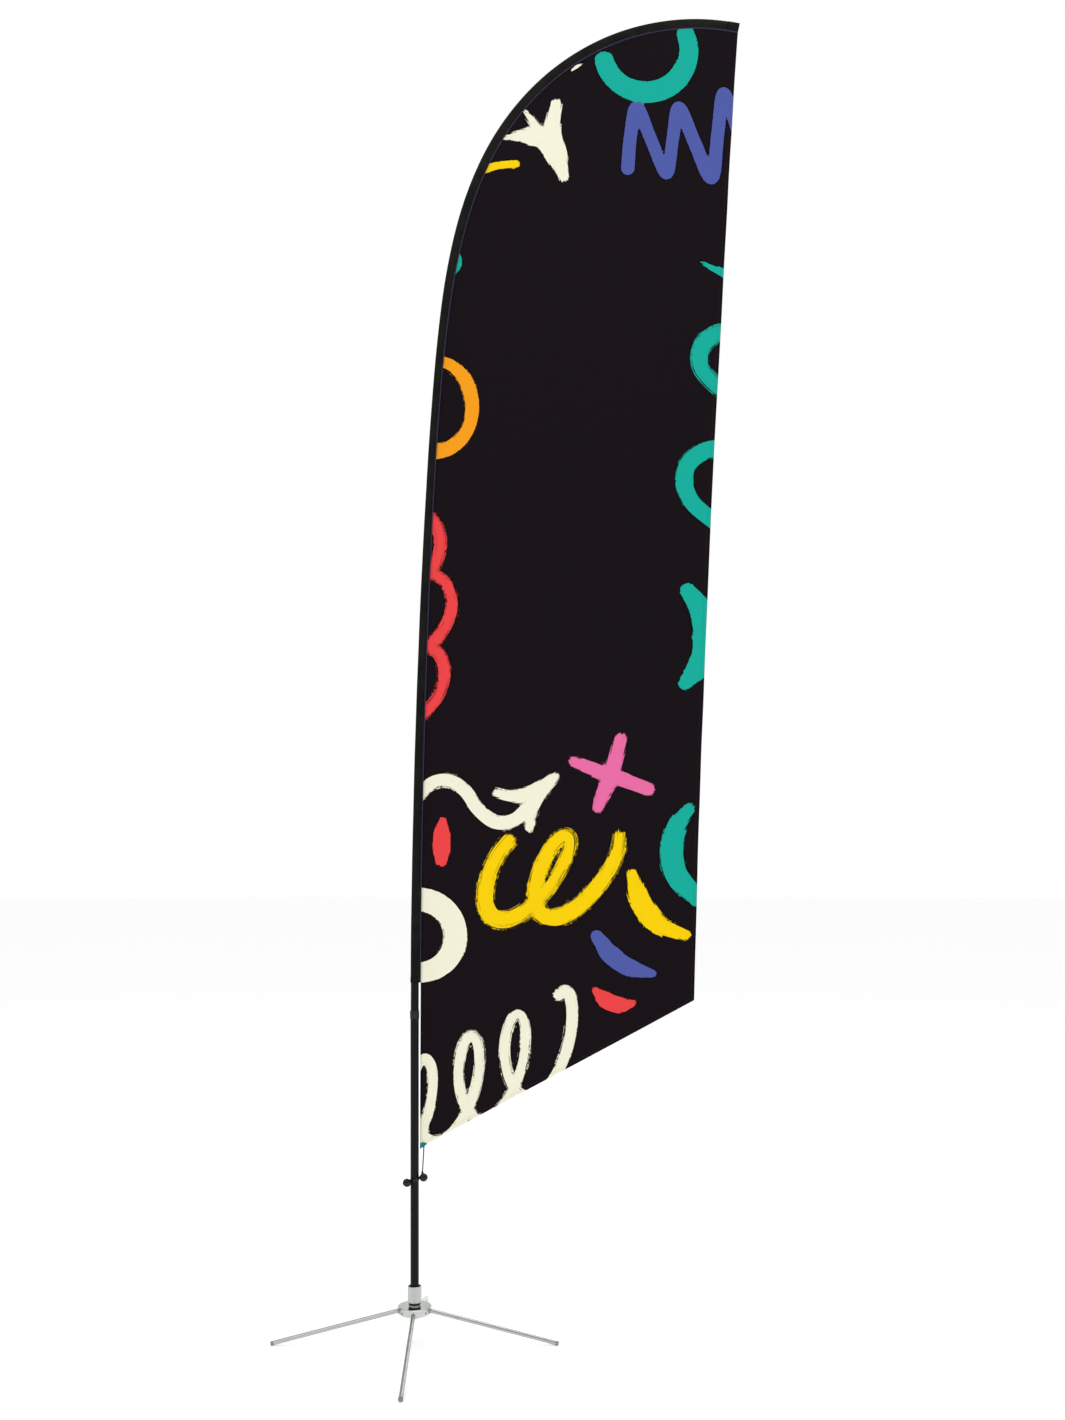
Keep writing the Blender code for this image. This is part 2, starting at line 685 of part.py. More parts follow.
def corner_tab():
    """The webbing tab at the flag's lowest corner, that the tension cord pulls on."""
    cloth_x = luff_x + TAB_WIDTH
    return outline_solid([
        (luff_x, TAB_TOP),
        (cloth_x, TAB_TOP),
        (cloth_x, TAB_TOP - TAB_DEPTH_AT_CLOTH),
        (luff_x, TAB_TOP - TAB_DEPTH_AT_POLE),
    ], TAB_THICKNESS)


hem_top = mouth + MOUTH_HEM_HEIGHT
inside_wide = thicker(sleeve_half_width, -SLEEVE_WALL)
inside_deep = thicker(sleeve_half_depth, -SLEEVE_WALL)
place("sleeve_mouth_hem", path_tube(stretch(mouth, hem_top), thicker(sleeve_half_width, MOUTH_HEM_STEP),
                                    inside_wide, thicker(sleeve_half_depth, MOUTH_HEM_STEP), inside_deep),
      SLEEVE_CLOTH)
place("pole_sleeve", path_tube(stretch(hem_top + GAP, sleeve_end), sleeve_half_width, inside_wide,
                               sleeve_half_depth, inside_deep), SLEEVE_CLOTH)
place("tip_pocket", path_cup(stretch(sleeve_end + GAP, BEND_LENGTH), TIP_POCKET_END,
                             thicker(sleeve_half_width, MOUTH_HEM_STEP),
                             thicker(sleeve_half_depth, TIP_POCKET_EASE), TIP_POCKET_WALL), SLEEVE_CLOTH)
place("sleeve_seam_tape", seam_tape(), TAPE_CLOTH)
place("flag_cloth", outline_solid(cloth_outline(), CLOTH_THICKNESS), FLAG_CLOTH)
place("corner_tab", corner_tab(), TEAL_WEBBING)


# --- tensioner -----------------------------------------------------------------------------------

band_inner = POLE_RADII[0] + PLAY
band_outer = band_inner + BAND_THICKNESS
ball_distance = band_outer + GAP + BALL_RADIUS
tensioner = empty_at("tensioner_slide", (0, 0, BAND_Z), assembly)


def slanted(bm):
    """Tilts a ring's plane by moving its points straight up or down, so that it still hugs the pole."""
    for vert in bm.verts:
        vert.co.z += vert.co.x * math.tan(BAND_SLANT)
    return bm


band = place("elastic_band", slanted(ring(band_inner, band_outer, -BAND_HEIGHT / 2, BAND_HEIGHT / 2)),
             BLACK_RUBBER, tensioner)
for side, (toward, height) in BALLS.items():
    holder = empty_at(f"{side}_ball_place", (0, 0, height - BAND_Z), tensioner, (0, 0, toward))
    end_start = (band_inner + band_outer) / 2
    ball_bm = bmesh.new()
    bmesh.ops.create_uvsphere(ball_bm, u_segments=24, v_segments=14, radius=BALL_RADIUS,
                              matrix=Matrix.Translation((ball_distance, 0, 0)))
    ball = place(f"toggle_ball_{side}", ball_bm, BLACK_RUBBER, holder)
    hole = rod_along("X", BAND_END_RADIUS + GAP, band_outer, ball_distance + 2 * BALL_RADIUS)
    cut(ball, cutter(f"{side}_ball_hole_cutter", hole, holder))
    band_end = rod_along("X", BAND_END_RADIUS, end_start, end_start + BAND_END_LENGTH)
    cut(band, cutter(f"{side}_band_end", band_end, holder), "UNION")

cord_curve = bpy.data.curves.new("tension_cord", "CURVE")
cord_curve.dimensions = "3D"
spline = cord_curve.splines.new("POLY")
spline.points.add(len(CORD_POINTS) - 1)
for point, (across, forward, height) in zip(spline.points, CORD_POINTS):
    point.co = (luff_x + across, forward, height, 1)
cord_curve.bevel_depth = CORD_RADIUS
cord_curve.bevel_resolution = 2
cord_curve.use_fill_caps = True
cord_curve.resolution_u = 1
cord_curve.render_resolution_u = 0
cord_curve.materials.append(CORD_BRAID)
cord = bpy.data.objects.new("tension_cord", cord_curve)
bpy.context.scene.collection.objects.link(cord)
cord.parent = assembly
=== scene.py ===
"""Feather flag with pole: the finished look of each piece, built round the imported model."""

import math

import bmesh
import bpy
import numpy as np
from mathutils import Matrix, Vector


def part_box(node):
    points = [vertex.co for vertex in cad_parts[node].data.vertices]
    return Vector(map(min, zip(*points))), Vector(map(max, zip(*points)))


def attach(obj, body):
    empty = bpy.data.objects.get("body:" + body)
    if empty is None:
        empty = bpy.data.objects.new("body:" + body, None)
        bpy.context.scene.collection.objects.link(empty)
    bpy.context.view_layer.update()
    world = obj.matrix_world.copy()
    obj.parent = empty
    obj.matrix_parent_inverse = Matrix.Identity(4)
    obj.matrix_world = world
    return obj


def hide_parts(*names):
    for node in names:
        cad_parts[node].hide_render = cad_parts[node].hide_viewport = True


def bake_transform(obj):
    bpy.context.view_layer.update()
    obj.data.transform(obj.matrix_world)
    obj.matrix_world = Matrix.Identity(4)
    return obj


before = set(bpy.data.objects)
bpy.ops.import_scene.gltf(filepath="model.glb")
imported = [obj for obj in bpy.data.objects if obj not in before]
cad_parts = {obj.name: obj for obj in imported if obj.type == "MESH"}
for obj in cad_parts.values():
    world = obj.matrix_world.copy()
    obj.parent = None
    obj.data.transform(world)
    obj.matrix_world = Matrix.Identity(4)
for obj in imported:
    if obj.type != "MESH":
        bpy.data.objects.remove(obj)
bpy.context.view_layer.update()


# --- camera, floor and light ---
# A pale studio floor, soft light from large panels, and a level camera in front of the flag and a
# little to the right of its pole.

spindle_low, spindle_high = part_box("spindle")
POLE_X = (spindle_low.x + spindle_high.x) / 2


def placed(name, data):
    """An object of this data, put in the scene."""
    item = bpy.data.objects.new(name, data)
    bpy.context.scene.collection.objects.link(item)
    return item


def to_mesh(bm, mesh=None):
    """The finished bmesh as a mesh, new or rewritten."""
    mesh = mesh or bpy.data.meshes.new("made")
    bm.to_mesh(mesh)
    bm.free()
    return mesh


lens = bpy.data.cameras.new("front_camera")
lens.lens = 33.92
lens.shift_y = 0.1132
camera = placed("front_camera", lens)
camera.location = (POLE_X + 0.307, -3.485, 1.236)
camera.rotation_euler = (math.pi / 2, 0, 0)
bpy.context.scene.camera = camera
bpy.context.scene.view_settings.view_transform = "Standard"

floor_bm = bmesh.new()
bmesh.ops.create_circle(floor_bm, cap_ends=True, segments=96, radius=60)
floor = placed("floor", to_mesh(floor_bm))
floor.location.z = -0.0005
floor_paint = bpy.data.materials.new("pale_floor")
floor_paint.use_nodes = True
for socket, value in (("Base Color", (0.93, 0.93, 0.93, 1)), ("Roughness", 0.9), ("Specular IOR Level", 0.0),
                      ("Emission Color", (1, 1, 1, 1)), ("Emission Strength", 0.30)):
    floor_paint.node_tree.nodes["Principled BSDF"].inputs[socket].default_value = value
floor.data.materials.append(floor_paint)


def light_panel(name, spot, aim, size, power):
    """A rectangular soft light that looks from spot towards aim."""
    panel = bpy.data.lights.new(name, "AREA")
    panel.shape = "RECTANGLE"
    panel.size, panel.size_y = size
    panel.energy = power
    holder = placed(name, panel)
    holder.location = spot
    holder.rotation_euler = (Vector(aim) - Vector(spot)).to_track_quat("-Z", "Y").to_euler()


light_panel("key_panel", (-3.0, -4.5, 4.6), (0, 0, 1.4), (3.6, 4.4), 42)
light_panel("fill_panel", (4.2, -3.4, 2.6), (0, 0, 1.2), (2.4, 3.8), 20)
light_panel("top_panel", (0.3, -0.4, 6.5), (0, 0, 0), (4.5, 4.5), 50)
light_panel("rim_panel", (1.5, 4.5, 3.6), (0, 0, 1.4), (3.6, 3.6), 36)

world = bpy.data.worlds.new("studio")
bpy.context.scene.world = world
world.use_nodes = True
sky = world.node_tree
sky.nodes.clear()
sky_out, seen, lit, chosen, heights, direction, rise, halved, path_kind = (
    sky.nodes.new("ShaderNode" + kind) for kind in (
        "OutputWorld", "Background", "Background", "MixShader", "ValToRGB", "TexCoord", "SeparateXYZ", "MapRange",
        "LightPath"))
seen.inputs["Color"].default_value = (1, 1, 1, 1)
heights.color_ramp.elements[0].position = 0.50
heights.color_ramp.elements[0].color = (0.85, 0.85, 0.85, 1)
for position, grey in ((0.68, 0.92), (0.71, 0.16), (0.78, 0.12), (0.81, 0.80), (0.86, 0.45), (0.90, 1.0)):
    heights.color_ramp.elements.new(position).color = (grey, grey, grey, 1)
halved.inputs["From Min"].default_value = -1
for start, end in (
        (direction.outputs["Generated"], rise.inputs[0]), (rise.outputs["Z"], halved.inputs["Value"]),
        (halved.outputs["Result"], heights.inputs[0]), (heights.outputs[0], lit.inputs["Color"]),
        (path_kind.outputs["Is Camera Ray"], chosen.inputs[0]), (lit.outputs[0], chosen.inputs[1]),
        (seen.outputs[0], chosen.inputs[2]), (chosen.outputs[0], sky_out.inputs[0])):
    sky.links.new(start, end)


# --- tension cord ---
# A short braided elastic cord, 3.5 mm thick. It is sewn into the corner tab and pulls the flag
# down to the tensioner's right ball.


class Wire:
    """A socket in one material. Arithmetic on it adds Math nodes, and node() adds any other node."""

    def __init__(self, tree, socket=None):
        self.tree = tree
        self.socket = socket

    def node(self, kind, settings=None, inputs=None, output=0):
        made = self.tree.nodes.new(kind)
        for setting, value in (settings or {}).items():
            setattr(made, setting, value)
        for name, value in (inputs or {}).items():
            if isinstance(value, Wire):
                self.tree.links.new(value.socket, made.inputs[name])
            else:
                made.inputs[name].default_value = value
        return Wire(self.tree, made.outputs[output])

    def maths(self, operation, *values):
        return self.node("ShaderNodeMath", {"operation": operation}, dict(enumerate(values)))

    def __add__(self, other):
        return self.maths("ADD", self, other)

    def __sub__(self, other):
        return self.maths("SUBTRACT", self, other)

    def __rsub__(self, other):
        return self.maths("SUBTRACT", other, self)

    def __mul__(self, other):
        return self.maths("MULTIPLY", self, other)

    __radd__ = __add__
    __rmul__ = __mul__

    def part(self, letter):
        """One of this vector's three numbers."""
        return self.node("ShaderNodeSeparateXYZ", None, {0: self}, letter)

    def fade(self, start, end):
        """0 below start, 1 above end, and smooth between them."""
        return self.node("ShaderNodeMapRange", {"interpolation_type": "SMOOTHSTEP"},
                         {"Value": self, "From Min": start, "From Max": end})

    def between(self, first, second):
        """The first colour where this is 0, and the second where it is 1."""
        return self.node("ShaderNodeMix", {"data_type": "RGBA"}, {0: self, 6: first, 7: second}, 2)

    def noise(self, scale, detail=2.0, roughness=0.5):
        """Noise on this wire's coordinates."""
        return self.node("ShaderNodeTexNoise", None,
                         {"Vector": self, "Scale": scale, "Detail": detail, "Roughness": roughness})

    def stretched(self, scale):
        """These coordinates, scaled differently along each axis."""
        return self.node("ShaderNodeMapping", None, {"Vector": self, "Scale": scale})

    def ribs(self, stretch, direction="X", scale=0.5, distortion=0.4):
        """Soft parallel ribs on these coordinates, stretched first."""
        return self.stretched(stretch).node("ShaderNodeTexWave", {"bands_direction": direction},
                                            {"Scale": scale, "Distortion": distortion}, "Fac")

    def bump(self, distance, strength=1.0):
        return self.node("ShaderNodeBump", None, {"Height": self, "Distance": distance, "Strength": strength})


class Finish:
    """A named material, with the numbers that are the same all over set on its shader."""

    def __init__(self, name, **fixed):
        self.material = bpy.data.materials.new(name)
        self.material.use_nodes = True
        self.shader = self.material.node_tree.nodes["Principled BSDF"]
        for socket, value in fixed.items():
            self.shader.inputs[socket.replace("_", " ")].default_value = value
        self.start = Wire(self.material.node_tree)
        self.place = self.start.node("ShaderNodeTexCoord", output="Object")
        self.weft = self.start.node("ShaderNodeTexCoord", output="UV")

    def paint(self, **varying):
        for socket, wire in varying.items():
            self.start.tree.links.new(wire.socket, self.shader.inputs[socket.replace("_", " ")])
        return self


def colour(red, green, blue):
    """A shader colour, from the 0 to 255 numbers of a paint chart."""
    def linear(value):
        share = value / 255
        return share / 12.92 if share <= 0.04045 else ((share + 0.055) / 1.055) ** 2.4
    return (linear(red), linear(green), linear(blue), 1)


def finished(name, mesh, finish, body, replaces=(), crease=35):
    """Makes the mesh a piece that rides on a body, smooth except at creases."""
    mesh.name = name
    mesh.materials.append(finish.material)
    mesh.shade_smooth()
    mesh.set_sharp_from_angle(angle=math.radians(crease))
    piece = placed(name, mesh)
    if body:
        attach(piece, body)
    if replaces:
        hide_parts(*replaces)
    return piece


WELD = 1e-6


def rolled(around, along, lie, welded=True):
    """A grid of cells laid where lie(u, v) says, for u and v from 0 to 1, with its meeting edges welded."""
    bm = bmesh.new()
    bm.loops.layers.uv.new("UVMap")
    bmesh.ops.create_grid(bm, x_segments=around, y_segments=along, size=0.5, calc_uvs=True)
    mesh = bpy.data.meshes.new("rolled")
    bm.to_mesh(mesh)
    flat = np.empty(3 * len(mesh.vertices))
    mesh.vertices.foreach_get("co", flat)
    flat = flat.reshape(-1, 3) + 0.5
    mesh.vertices.foreach_set("co", np.asarray(lie(flat[:, 0], flat[:, 1]), float).ravel())
    bm.clear()
    bm.from_mesh(mesh)
    if welded:
        bmesh.ops.remove_doubles(bm, verts=bm.verts, dist=WELD)
        bmesh.ops.recalc_face_normals(bm, faces=bm.faces)
    return to_mesh(bm, mesh)


def at_ends(v):
    """Whether points lie on the first or the last ring of a rolled mesh."""
    return (v < 0.001) | (v > 0.999)


LUFF_X = 0.0138
CORD_RADIUS = 0.00175
CORD_END = 0.02
cord_path = (POLE_X + LUFF_X, 0, 0) + np.array([
    (0.0102, 0, 0.518), (0.01, -0.0003, 0.508), (0.0095, -0.0009, 0.497), (0.0089, -0.0016, 0.486),
    (0.0082, -0.0023, 0.475), (0.0075, -0.003, 0.464), (0.007, -0.0035, 0.455), (0.0068, -0.0038, 0.449)])


def lie_of_cord(u, v):
    """The cord's skin, with a rounded end where it goes into the tab and into the ball."""
    run = np.clip((v - CORD_END) / (1 - 2 * CORD_END), 0, 1) * (len(cord_path) - 1)
    middle = np.stack([np.interp(run, np.arange(len(cord_path)), side) for side in cord_path.T], 1)
    radius = np.where(at_ends(v), 0, CORD_RADIUS)
    turn = math.tau * u
    return middle + np.stack([radius * np.cos(turn), radius * np.sin(turn), 0 * u], 1)


braid = Finish("cord_braid", Specular_IOR_Level=0.3)
strands, crossing = (braid.weft.ribs((side, 14, 1), "DIAGONAL", 2.0, 0.6) for side in (1, -1))
plait = strands.maths("MAXIMUM", strands, crossing)
braid.paint(Base_Color=plait.between(colour(62, 56, 84), colour(116, 108, 140)), Roughness=0.62 + plait * 0.2,
            Normal=plait.bump(0.0004))
tension_cord = finished("elastic_cord", rolled(16, 60, lie_of_cord), braid, None, ["tension_cord"])
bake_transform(tension_cord)


# --- hub ---
# A steel disc, turned on a lathe, milled with four round-topped slots for the legs, drilled across
# for their hinge pins, and then polished and chromed.

HUB_RADIUS, HUB_BOTTOM, HUB_TOP = 0.044, 0.084, 0.104
PIVOT_RADIUS, PIVOT_Z = 0.030, 0.0935
LEG_RADIUS, LEG_REACH = 0.00575, 0.375
PLUG_RADIUS, SOLE_CUT = 0.0059, 0.0017
leg_drop = PIVOT_Z - (PLUG_RADIUS - SOLE_CUT)
leg_slope = math.atan2(leg_drop, LEG_REACH - PIVOT_RADIUS)
leg_length = math.hypot(leg_drop, LEG_REACH - PIVOT_RADIUS)
SIDES = {"right": 0.0, "rear": 90.0, "left": 180.0, "front": 270.0}
BEARING_SEAT, BEARING_FLOOR = 0.0143, 0.098
JOURNAL, PIN_BORE, PLAY = 0.0063, 0.0028, 0.0003


def spun(profile, closed=True, steps=96):
    """Spins a profile of (radius, height) points about Z."""
    bm = bmesh.new()
    points = [bm.verts.new((radius, 0, height)) for radius, height in profile]
    lines = [bm.edges.new(pair) for pair in zip(points, points[1:] + points[:closed])]
    bmesh.ops.spin(bm, geom=points + lines, cent=(0, 0, 0), axis=(0, 0, 1), angle=math.tau, steps=steps,
                   use_merge=True)
    bmesh.ops.remove_doubles(bm, verts=bm.verts, dist=WELD)
    bmesh.ops.recalc_face_normals(bm, faces=bm.faces)
    return bm


def lengthwise(bm):
    """A shape made along Z, turned to lie along X."""
    bmesh.ops.rotate(bm, verts=bm.verts, cent=(0, 0, 0), matrix=Matrix.Rotation(math.pi / 2, 3, "Y"))
    return bm


def settled(bm, place=None):
    """The bmesh as a mesh, turned and moved into its place in the model."""
    bmesh.ops.transform(bm, matrix=Matrix.Translation((POLE_X, 0, 0)) @ (place or Matrix()), verts=bm.verts)
    return to_mesh(bm)


def rod(radius, start, end, steps=32):
    """A plain rod between two heights."""
    bm = bmesh.new()
    bmesh.ops.create_cone(bm, cap_ends=True, segments=steps, radius1=radius, radius2=radius, depth=end - start,
                          matrix=Matrix.Translation((0, 0, (start + end) / 2)))
    return bm


def drill(start, end):
    """A hinge pin's hole, across a leg's line."""
    bm = rod(PIN_BORE, start, end)
    bmesh.ops.rotate(bm, verts=bm.verts, cent=(0, 0, 0), matrix=Matrix.Rotation(-math.pi / 2, 3, "X"))
    return bm


def carved(mesh, tools, operation="DIFFERENCE"):
    """The mesh with each tool's mesh cut out of it, or joined to it."""
    body = placed("carving", mesh)
    helpers = [placed("carving_tool", tool) for tool in tools]
    for helper in helpers:
        step = body.modifiers.new("carve", "BOOLEAN")
        step.operation, step.solver, step.object = operation, "EXACT", helper
    made = bpy.data.meshes.new_from_object(body.evaluated_get(bpy.context.evaluated_depsgraph_get()))
    for helper in [body, *helpers]:
        bpy.data.objects.remove(helper)
    bm = bmesh.new()
    bm.from_mesh(made)
    bmesh.ops.remove_doubles(bm, verts=bm.verts, dist=10 * WELD)
    bmesh.ops.dissolve_degenerate(bm, edges=bm.edges, dist=10 * WELD)
    return to_mesh(bm, made)


def rounded(piece, width, segments=3):
    """Rounds the piece's sharp edges."""
    edge = piece.modifiers.new("rounded_edges", "BEVEL")
    edge.width, edge.segments, edge.limit_method, edge.angle_limit = width, segments, "ANGLE", math.radians(35)
    edge.miter_outer = "MITER_ARC"


def turned_part(name, profile, finish, body, node, edge, segments=3, closed=True, steps=96):
    """A piece turned on a lathe about the pole's line, with its edges rounded."""
    rounded(finished(name, settled(spun(profile, closed, steps)), finish, body, [node]), edge, segments)


def slot_tool():
    """The milling cutter's sweep for one leg: round on top, open below, sloping with the leg."""
    half = LEG_RADIUS + PLAY
    bm = bmesh.new()
    bmesh.ops.create_circle(bm, cap_ends=True, segments=48, radius=half)
    for vert in [vert for vert in bm.verts if vert.co.y < -WELD]:
        vert.co.x = math.copysign(half, vert.co.x) if abs(vert.co.x) > WELD else 0
        vert.co.y = -4 * half
    bmesh.ops.remove_doubles(bm, verts=bm.verts, dist=WELD)
    for vert in bm.verts:
        across, up = vert.co.x, vert.co.y
        vert.co = (PIVOT_RADIUS - half, across, PIVOT_Z + half * math.tan(leg_slope) + up / math.cos(leg_slope))
    grown = bmesh.ops.extrude_face_region(bm, geom=bm.faces[:])["geom"]
    run = HUB_RADIUS + LEG_RADIUS - PIVOT_RADIUS + half
    bmesh.ops.translate(bm, verts=[item for item in grown if isinstance(item, bmesh.types.BMVert)],
                        vec=(run, 0, -run * math.tan(leg_slope)))
    bmesh.ops.recalc_face_normals(bm, faces=bm.faces)
    return bm


chrome = Finish("chrome", Metallic=1.0)
polish = chrome.place.noise(900, 4, 0.6)
smudges = chrome.place.noise(38, 3).fade(0.42, 0.72)
haze = chrome.place.noise(11, 2).fade(0.35, 0.75)
chrome.paint(Base_Color=haze.between((0.46, 0.49, 0.46, 1), (0.57, 0.60, 0.57, 1)),
             Roughness=0.07 + smudges * 0.10 + polish * 0.05, Normal=polish.bump(0.00004, 0.25))

hub_tools = []
for side, degrees in SIDES.items():
    facing = Matrix.Rotation(math.radians(degrees), 4, "Z")
    hub_tools.append(settled(slot_tool(), facing))
    hub_tools.append(settled(drill(-0.0138, HUB_RADIUS), facing @ Matrix.Translation((PIVOT_RADIUS, 0, PIVOT_Z))))
hub_mesh = settled(spun([
    (JOURNAL, HUB_BOTTOM), (0.0105, HUB_BOTTOM), (HUB_RADIUS - 0.0030, HUB_BOTTOM),
    (HUB_RADIUS, HUB_BOTTOM + 0.0030), (HUB_RADIUS, HUB_TOP - 0.0015), (HUB_RADIUS - 0.0015, HUB_TOP),
    (BEARING_SEAT, HUB_TOP), (BEARING_SEAT, BEARING_FLOOR), (JOURNAL, BEARING_FLOOR)], steps=128))
rounded(finished("hub", carved(hub_mesh, hub_tools), chrome, "base", ["base_hub"]), 0.0004)


# --- legs ---
# Four straight chromed rods. Each turns on a steel pin in its slot, and a grey rubber plug in its
# outer end is cut flat where it stands on the floor.


def leg_place(degrees):
    """From a rod along X, centred on its hinge, to where that leg stands."""
    return (Matrix.Rotation(math.radians(degrees), 4, "Z") @ Matrix.Translation((PIVOT_RADIUS, 0, PIVOT_Z))
            @ Matrix.Rotation(leg_slope, 4, "Y"))


leg_chrome = Finish("drawn_chrome", Metallic=1.0)
drawn = leg_chrome.place.noise(420, 3, 0.6)
worn = leg_chrome.place.noise(60, 3).fade(0.5, 0.8)
leg_chrome.paint(Base_Color=worn.between((0.45, 0.47, 0.45, 1), (0.36, 0.38, 0.36, 1)),
                 Roughness=0.12 + worn * 0.12 + drawn * 0.06, Normal=drawn.bump(0.00005, 0.3))

rubber = Finish("grey_rubber", Specular_IOR_Level=0.3)
grain = rubber.place.noise(700, 3)
dust = rubber.place.noise(90, 2).fade(0.45, 0.8)
rubber.paint(Base_Color=dust.between(colour(132, 135, 132), colour(160, 163, 158)),
             Roughness=0.65 + grain * 0.2, Normal=grain.bump(0.0002, 0.5))



def grained(name, scale, darker, lighter, roughness, spread, height, strength, **fixed):
    """A finish with one fine grain, which shows in its colour, its gloss and its surface."""
    finish = Finish(name, **fixed)
    grain = finish.place.noise(scale, 3)
    return finish.paint(Base_Color=grain.between(darker, lighter), Roughness=roughness + grain * spread,
                        Normal=grain.bump(height, strength))


steel = grained("bearing_steel", 600, (0.42, 0.43, 0.44, 1), (0.56, 0.57, 0.58, 1), 0.24, 0.12, 0.00005, 0.3,
                Metallic=1.0)


def refinish(finish, *nodes):
    """Gives CAD nodes that keep their shape a better finish."""
    for node in nodes:
        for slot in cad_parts[node].material_slots:
            slot.material = finish.material


PLUG_LENGTH, PLUG_STEM, STEM_RADIUS = 0.0083, 0.012, 0.0027
rod_length = leg_length - PLUG_LENGTH
leg_dome = [(LEG_RADIUS * math.sin(turn), -LEG_RADIUS * math.cos(turn)) for turn in np.linspace(0, math.pi / 2, 9)]
for side, degrees in SIDES.items():
    bm = lengthwise(spun([*leg_dome, (LEG_RADIUS, rod_length), (STEM_RADIUS + PLAY, rod_length),
                          (STEM_RADIUS + PLAY, rod_length - PLUG_STEM - PLAY), (0, rod_length - PLUG_STEM - PLAY)],
                         False, 40))
    place = leg_place(degrees)
    drilled = carved(settled(bm, place), [settled(drill(-0.012, 0.012), place)])
    rounded(finished(f"leg_rod_{side}", drilled, leg_chrome, f"leg_{side}", [f"leg_{side}"]), 0.0005)
    bm = lengthwise(spun([
        (0, rod_length - PLUG_STEM), (STEM_RADIUS, rod_length - PLUG_STEM), (STEM_RADIUS, rod_length + PLAY),
        (PLUG_RADIUS, rod_length + PLAY), (PLUG_RADIUS, rod_length + 0.0020),
        (PLUG_RADIUS - 0.0003, rod_length + 0.0024), (PLUG_RADIUS - 0.0003, rod_length + 0.0030),
        (PLUG_RADIUS, rod_length + 0.0034), (PLUG_RADIUS, leg_length - 0.0022),
        (PLUG_RADIUS - 0.0007, leg_length - 0.0007), (PLUG_RADIUS - 0.0022, leg_length), (0, leg_length)], False, 40))
    down = Vector((math.sin(leg_slope), 0, -math.cos(leg_slope)))
    bmesh.ops.bisect_plane(bm, geom=[*bm.verts, *bm.edges, *bm.faces], plane_co=down * PIVOT_Z, plane_no=down,
                           clear_outer=True)
    bmesh.ops.contextual_create(bm, geom=[edge for edge in bm.edges if edge.is_boundary])
    rounded(finished(f"foot_{side}", settled(bm, place), rubber, f"leg_{side}",
                     [f"foot_plug_{side}"]), 0.0002, 2)
    refinish(steel, f"leg_pin_{side}")


# --- rotator ---
# A ball bearing in the hub's top carries a steel spindle. On it sit a dark thrust washer and the
# chromed socket with its nylon bush, and a washer and a lock nut clamp them under the hub.

WASHER_LOW, WASHER_HIGH = 0.1066, 0.1123
SOCKET_LOW, SOCKET_HIGH, SOCKET_RADIUS, SOCKET_BORE = 0.1126, 0.1556, 0.018, 0.0155
FLANGE_LOW, FLANGE_HIGH = 0.1169, 0.1199
SPIGOT_RADIUS, SPIGOT_TOP, TAIL_END = 0.0085, 0.2649, 0.069
BUSH_BORE, BUSH_RADIUS, POLE_FOOT, BUSH_TOP = 0.0113, 0.0152, 0.1202, 0.1531
NUT_HALF_WIDTH, NUT_LOW, NUT_HIGH = 0.009, 0.0715, 0.0815

WASHER_RADIUS, WASHER_GROOVE = 0.0155, 0.0147
SHANK_RADIUS, THREAD_DEPTH, THREAD_STEP, FLANGE_RADIUS = 0.0060, 0.0005, 0.0005, 0.012

nylon = grained("black_nylon", 500, colour(22, 22, 23), colour(34, 34, 36), 0.40, 0.2, 0.0001, 0.4,
                Specular_IOR_Level=0.35)
zinc = grained("zinc_plate", 260, (0.45, 0.45, 0.42, 1), (0.60, 0.59, 0.54, 1), 0.30, 0.16, 0.0001, 0.3, Metallic=1.0)

refinish(steel, "bearing_outer_ring", "bearing_inner_ring", "bearing_ball_cage")

turned_part("washer_ring", [
    (JOURNAL, WASHER_LOW), (WASHER_RADIUS - 0.0005, WASHER_LOW), (WASHER_RADIUS, WASHER_LOW + 0.0010),
    (WASHER_RADIUS, WASHER_HIGH - 0.0022), (WASHER_GROOVE, WASHER_HIGH - 0.0018),
    (WASHER_GROOVE, WASHER_HIGH - 0.0010), (WASHER_RADIUS, WASHER_HIGH - 0.0006), (WASHER_RADIUS, WASHER_HIGH),
    (JOURNAL, WASHER_HIGH)], nylon, "rotor", "thrust_washer", 0.00015)

threads = [(SHANK_RADIUS - THREAD_DEPTH * (number % 2), TAIL_END + 0.0008 + THREAD_STEP * number)
           for number in range(26)]
turned_part("turning_spindle", [
    (0, TAIL_END), (0.0052, TAIL_END), *threads, (SHANK_RADIUS, 0.0830), (SHANK_RADIUS, FLANGE_LOW),
    (FLANGE_RADIUS, FLANGE_LOW), (FLANGE_RADIUS, FLANGE_HIGH), (SPIGOT_RADIUS, FLANGE_HIGH),
    (SPIGOT_RADIUS, SPIGOT_TOP - 0.002), (SPIGOT_RADIUS - 0.002, SPIGOT_TOP), (0, SPIGOT_TOP)],
    steel, "rotor", "spindle", 0.0002, 2, False, 64)

